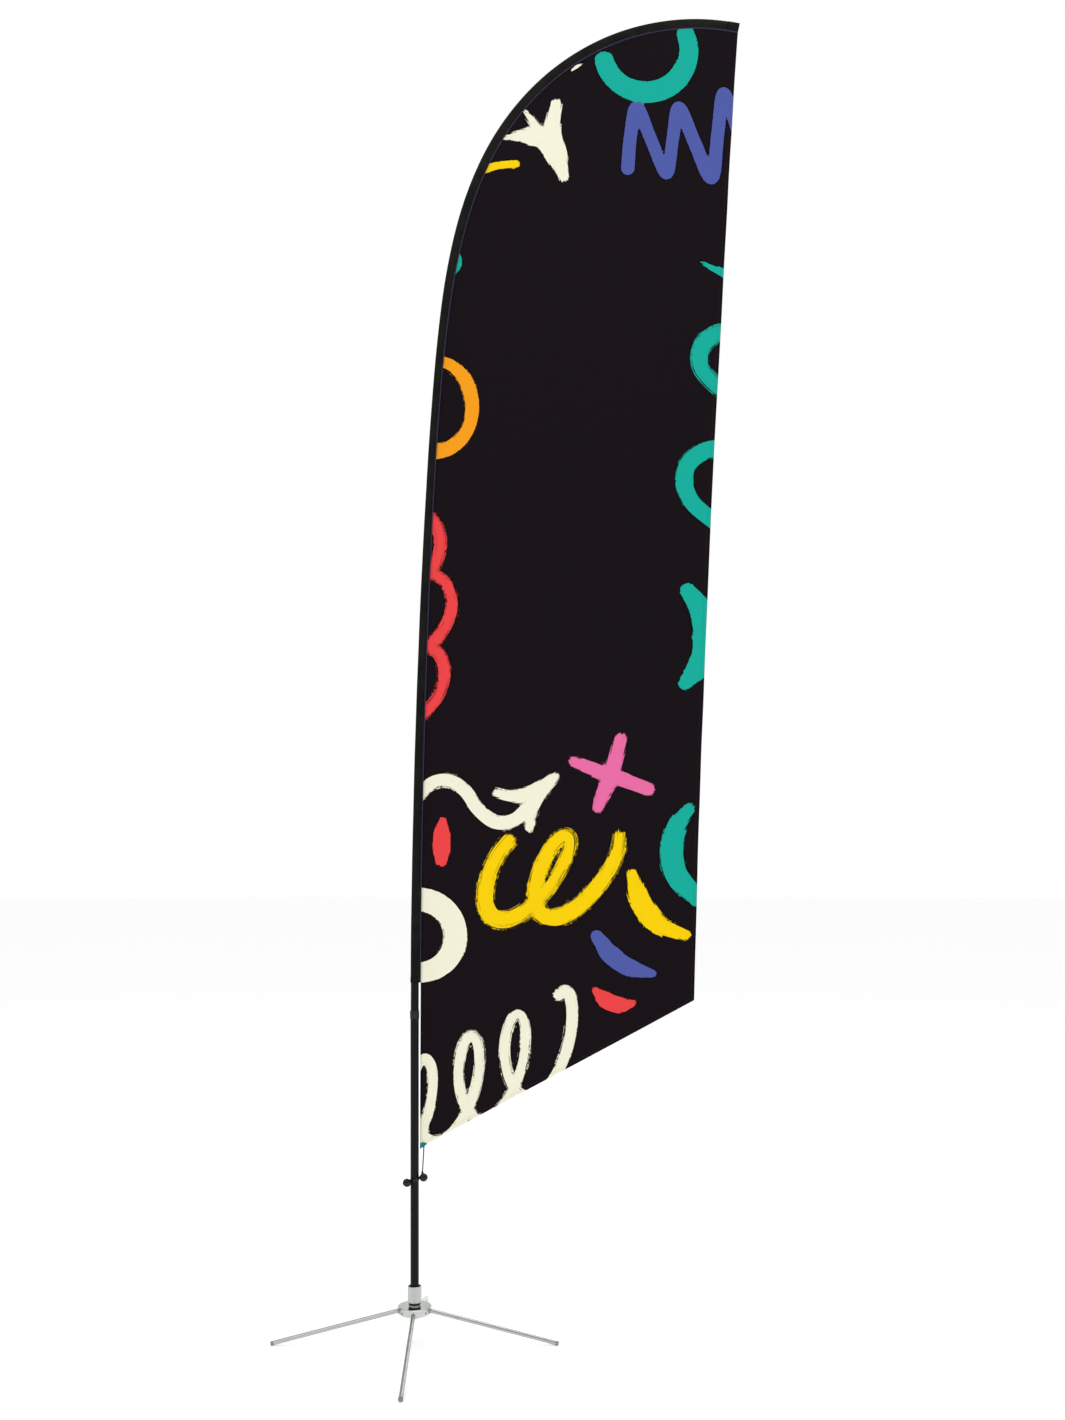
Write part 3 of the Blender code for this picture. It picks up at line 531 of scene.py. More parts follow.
socket_chrome = Finish("turned_chrome", Metallic=1.0)
lathe = socket_chrome.place.stretched((1, 1, 60)).noise(30, 4, 0.7)
cloudy = socket_chrome.place.noise(70, 3)
socket_chrome.paint(Base_Color=cloudy.between((0.40, 0.44, 0.41, 1), (0.54, 0.58, 0.54, 1)),
                    Roughness=0.20 + cloudy * 0.10 + lathe * 0.08, Normal=lathe.bump(0.00006, 0.35))
turned_part("socket_cup", [
    (JOURNAL, SOCKET_LOW), (SOCKET_RADIUS - 0.0012, SOCKET_LOW), (SOCKET_RADIUS, SOCKET_LOW + 0.0012),
    (SOCKET_RADIUS, SOCKET_HIGH - 0.0011), (SOCKET_RADIUS - 0.0011, SOCKET_HIGH),
    (SOCKET_BORE + 0.0006, SOCKET_HIGH), (SOCKET_BORE, SOCKET_HIGH - 0.0008), (SOCKET_BORE, SOCKET_LOW + 0.004),
    (JOURNAL, SOCKET_LOW + 0.004)], socket_chrome, "rotor", "pole_socket", 0.0003)

turned_part("nylon_bush", [
    (BUSH_BORE, POLE_FOOT), (BUSH_RADIUS, POLE_FOOT), (BUSH_RADIUS, BUSH_TOP), (BUSH_BORE + 0.0012, BUSH_TOP),
    (BUSH_BORE, BUSH_TOP - 0.0012)], nylon, "rotor", "socket_bush", 0.0003)

turned_part("tail_washer", [
    (JOURNAL, 0.0818), (0.010, 0.0818), (0.010, 0.0837), (JOURNAL, 0.0837)],
    zinc, "rotor", "lock_washer", 0.0003, steps=64)

nut_corner = NUT_HALF_WIDTH / math.cos(math.pi / 6)
nut_bm = bmesh.new()
bmesh.ops.create_cone(nut_bm, cap_ends=True, segments=6, radius1=nut_corner, radius2=nut_corner,
                      depth=NUT_HIGH - NUT_LOW, matrix=Matrix.Translation((0, 0, (NUT_LOW + NUT_HIGH) / 2)))
nut = carved(settled(nut_bm), [settled(rod(JOURNAL, 0.06, 0.09, 48))])
crown = settled(spun([(0, NUT_LOW - 0.0004), (NUT_HALF_WIDTH, NUT_LOW - 0.0004), (0.0108, NUT_LOW + 0.0010),
                      (0.0108, NUT_HIGH), (0, NUT_HIGH)], False, 64))
rounded(finished("spindle_nut", carved(nut, [crown], "INTERSECT"), zinc, "rotor", ["lock_nut"]),
        0.0002, 2)


# --- pole ---
# Four tapering tubes of black glass-fibre, joined by inner spigots, with a ring round the first
# joint. The flag's sleeve bends the upper ones over at the tip.

BEND_FROM, BEND_LENGTH = 0.776, 3.133
GENTLE_LEAN = math.radians(6.43)
TIGHT_FROM, TIGHT_EASE, TIGHT_RADIUS = 2.164, 0.1715, 0.5846
POLE_RADII = (0.0110, 0.0105, 0.0085, 0.0063, 0.0030)
SECTION_TOPS = (0.872, 1.880, 2.890)
TUBE_WALL, TIP_CAP = 0.0018, 0.0143
RING_BORE, RING_GROOVE, RING_RADIUS = 0.0113, 0.0118, 0.0121


def lean_at(distance):
    """The pole's lean at a distance along it from where its bend begins."""
    bent = np.maximum(distance, 0)
    tight = TIGHT_EASE * np.log1p(np.exp((bent - TIGHT_FROM) / TIGHT_EASE)) / TIGHT_RADIUS
    return np.where(distance <= 0, 0.0, GENTLE_LEAN * bent / BEND_LENGTH + tight)


steps_taken = np.linspace(0, BEND_LENGTH, 3134)
halfway_leans = lean_at((steps_taken[1:] + steps_taken[:-1]) / 2)
step = steps_taken[1]
bend_x = np.concatenate([[0], np.cumsum(np.sin(halfway_leans)) * step])
bend_z = np.concatenate([[0], np.cumsum(np.cos(halfway_leans)) * step]) + BEND_FROM


def beside_pole(distance, across, deep):
    """Points beside the pole's own line: across towards the cloth, and deep towards the back."""
    lean = lean_at(distance)
    x = np.interp(distance, steps_taken, bend_x) + across * np.cos(lean)
    z = np.interp(distance, steps_taken, bend_z) + np.minimum(distance, 0) - across * np.sin(lean)
    return np.stack([POLE_X + x, deep + 0 * x, z], 1)


def distance_at(height):
    return float(np.interp(height, bend_z, steps_taken)) if height > BEND_FROM else height - BEND_FROM


section_ends = [distance_at(POLE_FOOT), *map(distance_at, SECTION_TOPS), BEND_LENGTH - TIP_CAP]


def pole_radius(distance):
    """The pole's outer radius: the first tube is parallel, and the others taper."""
    stations = [section_ends[1], section_ends[1] + WELD, *section_ends[2:]]
    return np.interp(distance, stations, POLE_RADII)


def closed_up(mesh, close=bmesh.ops.holes_fill):
    """The mesh with its open ends closed, each by a flat cap or both by a bridge between them."""
    bm = bmesh.new()
    bm.from_mesh(mesh)
    close(bm, edges=[edge for edge in bm.edges if edge.is_boundary])
    bmesh.ops.recalc_face_normals(bm, faces=bm.faces)
    return to_mesh(bm, mesh)


def pole_tube(start, end, cells):
    """One section, as a wall that goes up outside and comes down inside."""
    def lie(u, v):
        inside = v > 0.5
        share = np.where(inside, 2 - 2 * v, 2 * v)
        share = np.clip((share - 0.004) / 0.992, 0, 1)
        distance = start + (end - start) * share
        radius = pole_radius(distance) - TUBE_WALL * inside
        return beside_pole(distance, radius * np.cos(math.tau * u), radius * np.sin(math.tau * u))
    return closed_up(rolled(64, 2 * cells + 1, lie), bmesh.ops.bridge_loops)


fibre = Finish("black_pole", Specular_IOR_Level=0.10, Coat_Roughness=0.15)
wound = fibre.place.stretched((70, 70, 9)).noise(6, 3)
pulled = fibre.place.stretched((900, 900, 3)).noise(1, 2)
scuffs = fibre.place.stretched((1, 1, 0.25)).noise(150, 4, 0.7).fade(0.62, 0.75)
fibre.paint(Base_Color=wound.between(colour(7, 7, 10), colour(14, 14, 15)),
            Roughness=0.24 + wound * 0.14 + scuffs * 0.2, Coat_Weight=0.08 - scuffs * 0.07,
            Normal=(pulled * 0.5 + wound * 0.5).bump(0.00012, 0.4))
alloy = grained("black_alloy", 500, colour(28, 28, 30), colour(44, 44, 46), 0.28, 0.16, 0.00006, 0.3,
                Metallic=0.6, Specular_IOR_Level=0.4)
rubber_black = Finish("black_rubber", Specular_IOR_Level=0.30)
skin = rubber_black.place.noise(420, 3)
wiped = rubber_black.place.noise(60, 2).fade(0.4, 0.7)
rubber_black.paint(Base_Color=skin.between(colour(9, 9, 10), colour(16, 16, 17)),
                   Roughness=0.20 + wiped * 0.16, Normal=skin.bump(0.00008, 0.4))

finished("pole_tube_1", pole_tube(section_ends[0], section_ends[1], 30), fibre, "mast",
         ["pole_section_1"])
finished("pole_tube_2", pole_tube(section_ends[1] + PLAY, section_ends[2], 60), fibre, "mast",
         ["pole_section_2"])
refinish(fibre, "pole_section_3", "pole_section_4")
refinish(alloy, "pole_coupler_1", "pole_coupler_2", "pole_coupler_3")
refinish(rubber_black, "pole_tip_cap")

turned_part("joint_band", [
    (RING_BORE, 0.8510), (RING_RADIUS - 0.0002, 0.8510), (RING_RADIUS, 0.8516), (RING_RADIUS, 0.8540),
    (RING_GROOVE, 0.8545), (RING_GROOVE, 0.8553), (RING_RADIUS, 0.8558), (RING_RADIUS, 0.8672),
    (RING_GROOVE, 0.8677), (RING_GROOVE, 0.8685), (RING_RADIUS, 0.8690), (RING_RADIUS, 0.8714),
    (RING_RADIUS - 0.0002, 0.8720), (RING_BORE, 0.8720)],
    alloy, "mast", "pole_joint_ring", 0.0001, 2, steps=64)


# --- sleeve ---
# A folded strip of black knitted polyester, sewn to the flag along a dark violet tape. A turned and
# stitched hem stiffens its mouth, and a double pocket at its end holds the pole's tip.

SLEEVE_MOUTH, HEM_HEIGHT, POCKET_LENGTH, STITCH_STEP = 0.945, 0.012, 0.030, 0.0042
mouth = distance_at(SLEEVE_MOUTH)
sleeve_end = BEND_LENGTH - POCKET_LENGTH


def sleeve_depth(distance):
    return pole_radius(distance) + 0.0011


def sleeve_width(distance):
    """Half the sleeve's width: snug on the thick tubes, and easing out to its full width above them."""
    share = np.clip((distance - 1.50) / 0.70, 0, 1)
    eased = share * share * (3 - 2 * share)
    return sleeve_depth(distance) * (1 - eased) + 0.0105 * eased


def cloth_side(distance):
    return sleeve_width(distance) + 0.0004


def puckers(distance, turn):
    """How the cloth puckers: short creases that start at the seam, and long soft ones round the pole."""
    near_seam = np.clip(np.cos(turn), 0, 1) ** 2
    short = np.sin(distance * 430 + 2.2 * np.sin(distance * 61)) * np.sin(distance * 97 + 1.3)
    long = np.sin(distance * 23 + 3 * np.cos(turn)) * np.sin(distance * 7.1 + turn)
    return 0.00050 * short * near_seam + 0.00040 * long * (0.4 + 0.6 * near_seam)


def sleeve_skin(start, end, step, cells):
    """The sleeve between two distances, drawn out to a fold on the seam's side."""
    def lie(u, v):
        distance = start + (end - start) * v
        turn = math.tau * u
        drawn_out = 0.0009 * np.clip(np.cos(turn), 0, 1) ** 5
        loose = puckers(distance, turn)
        across = (sleeve_width(distance) + step + loose) * np.cos(turn) + drawn_out
        deep = (sleeve_depth(distance) + step + loose) * np.sin(turn) * (1 - 0.10 * np.clip(np.cos(turn), 0, 1) ** 3)
        return beside_pole(distance, across, deep)
    return rolled(56, cells, lie)


def knit(finish, wales, courses):
    """A fine knitted face on a piece whose UV map runs round it and along it."""
    return finish.weft.ribs((wales, 1, 1)) * finish.weft.ribs((1, courses, 1), "Y")


def walled(piece, thickness, offset=-1.0):
    """Gives a cloth skin its thickness, inwards unless offset says otherwise."""
    wall = piece.modifiers.new("cloth_wall", "SOLIDIFY")
    wall.thickness, wall.offset, wall.use_even_offset = thickness, offset, True
    return piece


sleeve_cloth = Finish("sleeve_fabric", Specular_IOR_Level=0.10)
jersey = knit(sleeve_cloth, 60, 2600)
shading = sleeve_cloth.place.noise(26, 3).fade(0.3, 0.7)
sleeve_cloth.paint(Base_Color=(shading * 0.7 + jersey * 0.3).between(colour(13, 16, 14), colour(30, 30, 27)),
                   Roughness=0.78 + shading * 0.12, Normal=jersey.bump(0.0004, 0.8))
tape_cloth = Finish("seam_tape", Specular_IOR_Level=0.25)
grosgrain = tape_cloth.weft.ribs((1, 1800, 1), "Y", distortion=0.3)
tape_cloth.paint(Base_Color=grosgrain.between(colour(38, 32, 52), colour(66, 56, 92)),
                 Roughness=0.70 + grosgrain * 0.15, Normal=grosgrain.bump(0.0003, 0.6))
thread = Finish("black_thread", Specular_IOR_Level=0.35)
twist = thread.place.noise(1500, 2)
thread.paint(Base_Color=twist.between(colour(26, 25, 30), colour(52, 50, 58)), Roughness=0.45 + twist * 0.2)

CLOTH_WALL, DOUBLE_WALL = 0.0005, 0.0009
flag_pieces = [
    walled(finished("sleeve_tube", sleeve_skin(mouth + HEM_HEIGHT, sleeve_end, 0, 360), sleeve_cloth, "mast",
                    ["pole_sleeve"]), CLOTH_WALL),
    walled(finished("mouth_hem", sleeve_skin(mouth, mouth + HEM_HEIGHT + 0.0006, 0.0004, 10), sleeve_cloth, "mast",
                    ["sleeve_mouth_hem"]), DOUBLE_WALL),
]


POCKET_SHARE = 0.85


def lie_of_pocket(u, v):
    """The tip pocket: like the sleeve but double, with a sewn-down end."""
    distance = sleeve_end + POCKET_LENGTH * np.clip(v / POCKET_SHARE, 0, 1)
    closing = np.sqrt(np.clip(1 - ((v - POCKET_SHARE) / (1 - POCKET_SHARE)).clip(0, 1) ** 2, 0, 1))
    turn = math.tau * u
    loose = puckers(distance, turn) * 0.5
    across = (sleeve_width(distance) + 0.0004 + loose) * np.cos(turn) * closing
    deep = (sleeve_depth(distance) + 0.0014 + loose) * np.sin(turn) * closing
    return beside_pole(distance, across, deep)


flag_pieces.append(walled(finished("tip_pocket_webbing", rolled(48, 26, lie_of_pocket), sleeve_cloth, "mast",
                                   ["tip_pocket"]), DOUBLE_WALL))


TAPE_MIDDLE = 0.0017


def lie_of_tape(u, v):
    """The seam tape, folded over the edges of sleeve and cloth."""
    distance = mouth + (BEND_LENGTH - mouth) * v
    turn = math.tau * u
    across = cloth_side(distance) + TAPE_MIDDLE + 0.0021 * np.cos(turn)
    deep = 0.00075 * np.sin(turn) * (1 + 0.15 * np.sin(distance * 310))
    return beside_pole(distance, across, deep)


flag_pieces.append(finished("violet_seam_tape", closed_up(rolled(12, 520, lie_of_tape)), tape_cloth, "mast",
                            ["sleeve_seam_tape"]))

THREAD_RADIUS = 0.0003


def sewn(name, spots, directions, length=0.0032):
    """A row of lockstitches: a slim grain of thread at each spot, along its direction."""
    bm = bmesh.new()
    grain = Matrix.Diagonal((length / 2, THREAD_RADIUS, THREAD_RADIUS, 1))
    for spot, along in zip(spots, directions):
        turn = Vector(along).to_track_quat("X", "Z").to_matrix().to_4x4()
        bmesh.ops.create_icosphere(bm, subdivisions=1, radius=1, matrix=Matrix.Translation(spot) @ turn @ grain)
    flag_pieces.append(finished(name, to_mesh(bm), thread, "mast", crease=180))


hem_turns = np.arange(0.25, math.tau - 0.25, 0.30)
hem_line = mouth + HEM_HEIGHT - 0.0025 + 0 * hem_turns
hem_out = sleeve_width(hem_line) + 0.0007, sleeve_depth(hem_line) + 0.0007
hem_spots = beside_pole(hem_line, hem_out[0] * np.cos(hem_turns), hem_out[1] * np.sin(hem_turns))
sewn("mouth_stitches", hem_spots, np.gradient(hem_spots, axis=0), 0.0026)
tape_line = np.arange(mouth + 0.004, BEND_LENGTH - 0.003, STITCH_STEP)
for side, deep in (("front", -0.00095), ("back", 0.00095)):
    spots, ahead = (beside_pole(line, cloth_side(line) + TAPE_MIDDLE, deep)
                    for line in (tape_line, tape_line + 0.001))
    sewn(f"tape_stitches_{side}", spots, ahead - spots)


# --- printed cloth ---
# One panel of knitted polyester, dye-printed with loose brush marks on black, cut to the pole's
# curve, and pulled tight from its lower corner. Its fly and its foot are turned back and hemmed.

FLY_FOOT = np.array([0.7273, 0.8995])
FLY_HOLLOW = 0.012
CORNER = np.array([LUFF_X, 0.5152])
LUFF_LENGTH, FLY_LENGTH, FOOT_LENGTH = 2.9, 2.55, 0.81
HEM_WIDTH, HEM_SEAM, HEM_LIFT = 0.011, 0.0088, 0.00062


def luff_points(share):
    """The cloth's pole side, from its lower corner up to the tip."""
    free = SLEEVE_MOUTH - CORNER[1]
    run = share * (free + BEND_LENGTH - mouth)
    distance = mouth + np.maximum(run - free, 0)
    held = beside_pole(distance, cloth_side(distance) + 0.0034, 0)
    x = held[:, 0] - POLE_X
    lower = np.clip(run / free, 0, 1)
    x = np.where(run < free, LUFF_X + (x - LUFF_X) * lower, x)
    z = np.where(run < free, CORNER[1] + run, held[:, 2])
    return np.stack([x, z], 1)


TIP = luff_points(np.array([1.0]))[0]


def fly_points(share):
    """The cloth's free side, from its foot up to the tip, cut slightly hollow."""
    line = FLY_FOOT + (TIP - FLY_FOOT) * share[:, None]
    return line - np.stack([FLY_HOLLOW * 4 * share * (1 - share), 0 * share], 1)


def billow(x, z, across):
    """How far the cloth stands back or forward: soft waves that fade at the pole, and pull lines to the corner."""
    reach = np.hypot(x - CORNER[0], z - CORNER[1])
    angle = np.arctan2(x - CORNER[0], z - CORNER[1])
    pull = 0.0030 * np.sin(angle * 34) * np.exp(-reach / 0.45) * np.clip(reach / 0.08, 0, 1)
    wide = 0.0055 * np.sin(z * 3.1 + x * 2.4 + 0.6) + 0.0030 * np.sin(z * 7.3 - x * 5.2 + 1.9)
    flutter = 0.0022 * np.sin(z * 17 + 2.5 * np.sin(z * 4.1)) * across ** 3
    seam = 0.0009 * np.sin(z * 88 + 2 * np.sin(z * 13)) * np.exp(-across * 14)
    waves = wide * np.clip(across * 2.2, 0, 1) + flutter + pull + seam * np.clip(across * 60, 0, 1)
    return waves * np.clip(z * 4 - 2, 0.2, 1)


def on_cloth(across, along, lift=0.0):
    """A point of the cloth: across from the pole to the fly, and along from the foot to the tip."""
    inner, outer = luff_points(along), fly_points(along)
    spot = inner + (outer - inner) * across[:, None]
    deep = billow(spot[:, 0], spot[:, 1], across) + lift
    return np.stack([POLE_X + spot[:, 0], deep, spot[:, 1]], 1)


CREAM, YELLOW, ORANGE = colour(246, 244, 220), colour(253, 212, 6), colour(249, 160, 27)
RED, PINK, TEAL, VIOLET = colour(240, 70, 72), colour(236, 111, 168), colour(22, 175, 157), colour(81, 93, 168)
strokes = []


def brush(paint, points, widths, dry):
    """One brush mark through the points, as wide as widths say from its start to its end, and as rough as dry."""
    knots = np.array([points[0], *points, points[-1]], float)
    knots[0], knots[-1] = 2 * knots[1] - knots[2], 2 * knots[-2] - knots[-3]
    t = np.linspace(0, 1, 24, endpoint=False)[:, None]
    line = [0.5 * (2 * b + (c - a) * t + (2 * a - 5 * b + 4 * c - d) * t ** 2 + (3 * b - a - 3 * c + d) * t ** 3)
            for a, b, c, d in zip(knots, knots[1:], knots[2:], knots[3:])]
    line = np.concatenate([*line, knots[-2:-1]])
    run = np.concatenate([[0], np.cumsum(np.linalg.norm(np.diff(line, axis=0), axis=1))])
    half = np.interp(run / run[-1], np.linspace(0, 1, len(widths)), widths) / 2
    strokes.append({"paint": paint, "line": line, "run": run + 3.7 * len(strokes), "half": half, "dry": dry})


def arc(centre, radius, first, last, count, squeeze=1.0):
    """Points on an arc, with its angles in degrees from the right."""
    turns = np.radians(np.linspace(first, last, count))
    return np.stack([centre[0] + radius * np.cos(turns), centre[1] + radius * squeeze * np.sin(turns)], 1)


def loops(start, step, size, lean, count):
    """A run of open loops, as a pen makes while it travels."""
    turns = np.linspace(0, math.tau * count, 14 * count + 1)
    across = start[0] + step[0] * turns / math.tau + size[0] * np.sin(turns)
    up = start[1] + step[1] * turns / math.tau + size[1] * (1 - np.cos(turns))
    return np.stack([across + lean * (up - start[1]), up], 1)


brush(TEAL, arc((0.602, 3.374), 0.112, 195, 382, 15), (0.05, 0.056, 0.056, 0.046), 0.2)
brush(VIOLET, [(0.555, 3.064), (0.561, 3.14), (0.578, 3.222), (0.615, 3.14), (0.656, 3.052), (0.672, 3.14),
               (0.688, 3.222), (0.73, 3.13), (0.774, 3.042), (0.79, 3.16), (0.806, 3.262), (0.845, 3.15)],
      (0.035, 0.032, 0.036, 0.032), 0.0)
brush(CREAM, [(0.388, 3.042), (0.366, 3.092), (0.336, 3.14), (0.29, 3.15), (0.236, 3.146)],
      (0.022, 0.052, 0.05, 0.01), 0.5)
brush(CREAM, [(0.388, 3.042), (0.372, 3.1), (0.358, 3.16), (0.369, 3.232)], (0.026, 0.05, 0.046, 0.026), 0.4)
brush(CREAM, [(0.35, 3.13), (0.316, 3.172), (0.288, 3.214)], (0.046, 0.026, 0.01), 0.5)
brush(YELLOW, [(0.17, 3.058), (0.215, 3.072), (0.264, 3.076)], (0.022, 0.019, 0.021), 0.15)
brush(CREAM, [(0.405, 3.318), (0.44, 3.342)], (0.004, 0.008, 0.003), 0.1)
brush(TEAL, [(0.078, 2.79), (0.092, 2.822), (0.084, 2.856)], (0.04, 0.062, 0.04), 0.15)
brush(ORANGE, arc((0.05, 2.446), 0.1, 82, -88, 11, 1.19), (0.032, 0.036, 0.034, 0.04), 0.45)
brush(TEAL, [(0.742, 2.821), (0.77, 2.806), (0.812, 2.786)], (0.004, 0.016, 0.024), 0.2)
brush(TEAL, [(0.822, 2.638), (0.778, 2.628), (0.746, 2.594), (0.744, 2.548), (0.774, 2.508), (0.812, 2.478)],
      (0.046, 0.048, 0.042, 0.04), 0.65)
brush(TEAL, [(0.812, 2.338), (0.756, 2.33), (0.712, 2.296), (0.704, 2.246), (0.724, 2.196), (0.764, 2.16),
      (0.804, 2.13)],
      (0.044, 0.046, 0.044, 0.042), 0.35)
brush(RED, [(0.02, 2.176), (0.052, 2.142), (0.066, 2.092), (0.058, 2.042), (0.04, 2.008)],
      (0.03, 0.034, 0.034, 0.026), 0.8)
brush(RED, [(0.036, 2.014), (0.078, 1.988), (0.097, 1.93), (0.08, 1.872), (0.038, 1.818)],
      (0.026, 0.03, 0.032, 0.03), 0.8)
brush(RED, [(0.034, 1.822), (0.066, 1.796), (0.078, 1.744), (0.062, 1.692), (0.022, 1.642)],
      (0.03, 0.032, 0.032, 0.028), 0.8)
brush(TEAL, [(0.71, 1.968), (0.746, 1.916), (0.764, 1.85), (0.752, 1.786), (0.704, 1.724)],
      (0.036, 0.062, 0.08, 0.066, 0.034), 0.2)
brush(CREAM, [(0.008, 1.424), (0.046, 1.464), (0.092, 1.47), (0.132, 1.442), (0.164, 1.398), (0.208, 1.364),
              (0.256, 1.366), (0.296, 1.4)], (0.028, 0.036, 0.034, 0.036, 0.034), 0.4)
brush(CREAM, [(0.214, 1.438), (0.256, 1.43), (0.31, 1.44), (0.366, 1.48)], (0.022, 0.036, 0.04, 0.02), 0.5)
brush(CREAM, [(0.366, 1.48), (0.33, 1.44), (0.306, 1.396), (0.3, 1.35)], (0.02, 0.034, 0.032, 0.026), 0.5)
brush(RED, [(0.073, 1.366), (0.07, 1.32), (0.07, 1.262)], (0.02, 0.044, 0.05, 0.03), 0.3)
brush(PINK, [(0.414, 1.52), (0.512, 1.484), (0.608, 1.448)], (0.026, 0.038, 0.04, 0.034), 0.5)
brush(PINK, [(0.536, 1.578), (0.512, 1.49), (0.478, 1.402)], (0.032, 0.04, 0.042, 0.03), 0.5)
brush(YELLOW, loops((0.098, 1.102), (0.128, 0.006), (0.056, 0.108), 0.46, 3)[8:35],
      (0.04, 0.046, 0.034, 0.04, 0.046, 0.034), 0.9)
brush(TEAL, [(0.716, 1.398), (0.682, 1.35), (0.67, 1.29), (0.684, 1.226), (0.734, 1.164)],
      (0.028, 0.052, 0.062, 0.06, 0.044), 0.4)
brush(YELLOW, [(0.566, 1.226), (0.588, 1.156), (0.632, 1.098), (0.706, 1.068)],
      (0.028, 0.05, 0.06, 0.044, 0.026), 0.5)
brush(VIOLET, [(0.474, 1.066), (0.51, 1.018), (0.56, 0.984), (0.62, 0.968)], (0.032, 0.05, 0.046, 0.02), 0.1)
brush(RED, [(0.47, 0.926), (0.5, 0.898), (0.538, 0.886), (0.57, 0.892)], (0.016, 0.044, 0.044, 0.014), 0.3)
brush(CREAM, arc((0.01, 1.066), 0.096, 100, -100, 13), (0.062, 0.062, 0.06, 0.05), 0.25)
brush(CREAM, loops((-0.06, 0.474), (0.114, 0.058), (0.052, 0.122), 0.12, 4)[1:51], (0.026, 0.028, 0.026, 0.031), 0.5)


MARK_REACH = 0.12


def print_marks(mesh):
    """Writes on the cloth's points how deep each is in the nearest mark, that mark's paint, and its grain."""
    spots = np.empty(3 * len(mesh.vertices))
    mesh.vertices.foreach_get("co", spots)
    spots = spots.reshape(-1, 3)
    flat = np.stack([spots[:, 0] - POLE_X, spots[:, 2]], 1)
    depth = np.full(len(flat), -1.0)
    grain = np.zeros((len(flat), 3))
    paint = np.zeros((len(flat), 4))
    for mark in strokes:
        line = mark["line"]
        near = np.flatnonzero(((flat > line.min(0) - MARK_REACH) & (flat < line.max(0) + MARK_REACH)).all(1))
        gaps = flat[near, None, :] - line[None]
        inside = mark["half"][None] - np.sqrt((gaps ** 2).sum(2))
        best = inside.argmax(1)
        found = inside[np.arange(len(near)), best]
        better = found > depth[near]
        chosen, spot = near[better], best[better]
        ahead = np.gradient(line, axis=0)[spot]
        ahead /= np.linalg.norm(ahead, axis=1)[:, None] + 1e-12
        offset = gaps[better, spot]
        depth[chosen] = found[better]
        paint[chosen] = mark["paint"]
        grain[chosen, 0] = mark["run"][spot]
        grain[chosen, 1] = ahead[:, 0] * offset[:, 1] - ahead[:, 1] * offset[:, 0]
        grain[chosen, 2] = mark["dry"]
    for name, kind, field, values in (
            ("mark_depth", "FLOAT", "value", depth), ("mark_grain", "FLOAT_VECTOR", "vector", grain),
            ("mark_paint", "FLOAT_COLOR", "color", paint), ("lie", "FLOAT", "value", spots[:, 1])):
        mesh.attributes.new(name, kind, "POINT").data.foreach_set(field, values.astype(np.float32).ravel())
    return mesh


printed = Finish("printed_flag_fabric", Specular_IOR_Level=0.08)
depth, lie, grain, paint = (
    printed.start.node("ShaderNodeAttribute", {"attribute_name": name}, output=output)
    for name, output in (("mark_depth", "Fac"), ("lie", "Fac"), ("mark_grain", "Vector"), ("mark_paint", "Color")))
dryness = grain.part("Z")
hairs = grain.stretched((9, 330, 0)).noise(1, 2, 0.6)
ragged = printed.place.noise(210, 3, 0.6)
crumbs = printed.place.noise(110, 4, 0.75)
edge = depth + (ragged - 0.5) * 0.0040 + (crumbs - 0.5) * dryness * 0.0180 + (hairs - 0.5) * dryness * 0.0420
ink = edge.fade(-0.0003, 0.0004)
halo = edge.fade(-0.0032, -0.0022)
bare = (hairs.fade(0.60, 0.64) * dryness.fade(0.4, 0.8)) * (1 - depth.fade(0.005, 0.012))
covered = ink * (1 - bare)
ground_tone = printed.place.noise(5, 3)
black_ground = halo.between(ground_tone.between(colour(19, 12, 17), colour(22, 15, 20)), colour(4, 2, 4))
front = covered.between(black_ground, (ragged * 0.10).between(paint, (0.0, 0.0, 0.0, 1)))
reverse = (printed.place.part("Y") - lie).fade(0.0, 0.0002)
faded = (covered * 0.14).between(front, colour(25, 19, 23))
weave = printed.place.ribs((1120, 0, 0), distortion=0.3) * printed.place.ribs((0, 0, 860), "Z", distortion=0.3)
printed.paint(Base_Color=reverse.between(front, faded), Roughness=0.80 + ground_tone * 0.10 - covered * 0.06,
              Normal=weave.bump(0.0002, 0.35))

cloth_mesh = print_marks(rolled(96, 400, on_cloth, False))
panel = walled(finished("flag_panel", cloth_mesh, printed, "mast", ["flag_cloth"]),
               CLOTH_WALL, 0.0)


def hem_strip(name, lie, cells):
    """A turned-back edge: a narrow fold on the cloth's back, with the same print."""
    strip = finished(name, print_marks(rolled(4, cells, lie, False)), printed, "mast")
    flag_pieces.append(walled(strip, 0.0006, 0.0))


def near_fly(across, along):
    width = np.linalg.norm(fly_points(along) - luff_points(along), axis=1)
    inset = HEM_WIDTH * np.minimum(1, width / 0.03)
    return on_cloth(1 - inset / np.maximum(width, WELD) * (1 - across), along * 0.985, HEM_LIFT)


def near_foot(across, along):
    return on_cloth(0.03 + 0.965 * along, HEM_WIDTH / LUFF_LENGTH * across, HEM_LIFT)


hem_strip("fly_hem", near_fly, 300)
hem_strip("foot_hem", near_foot, 120)

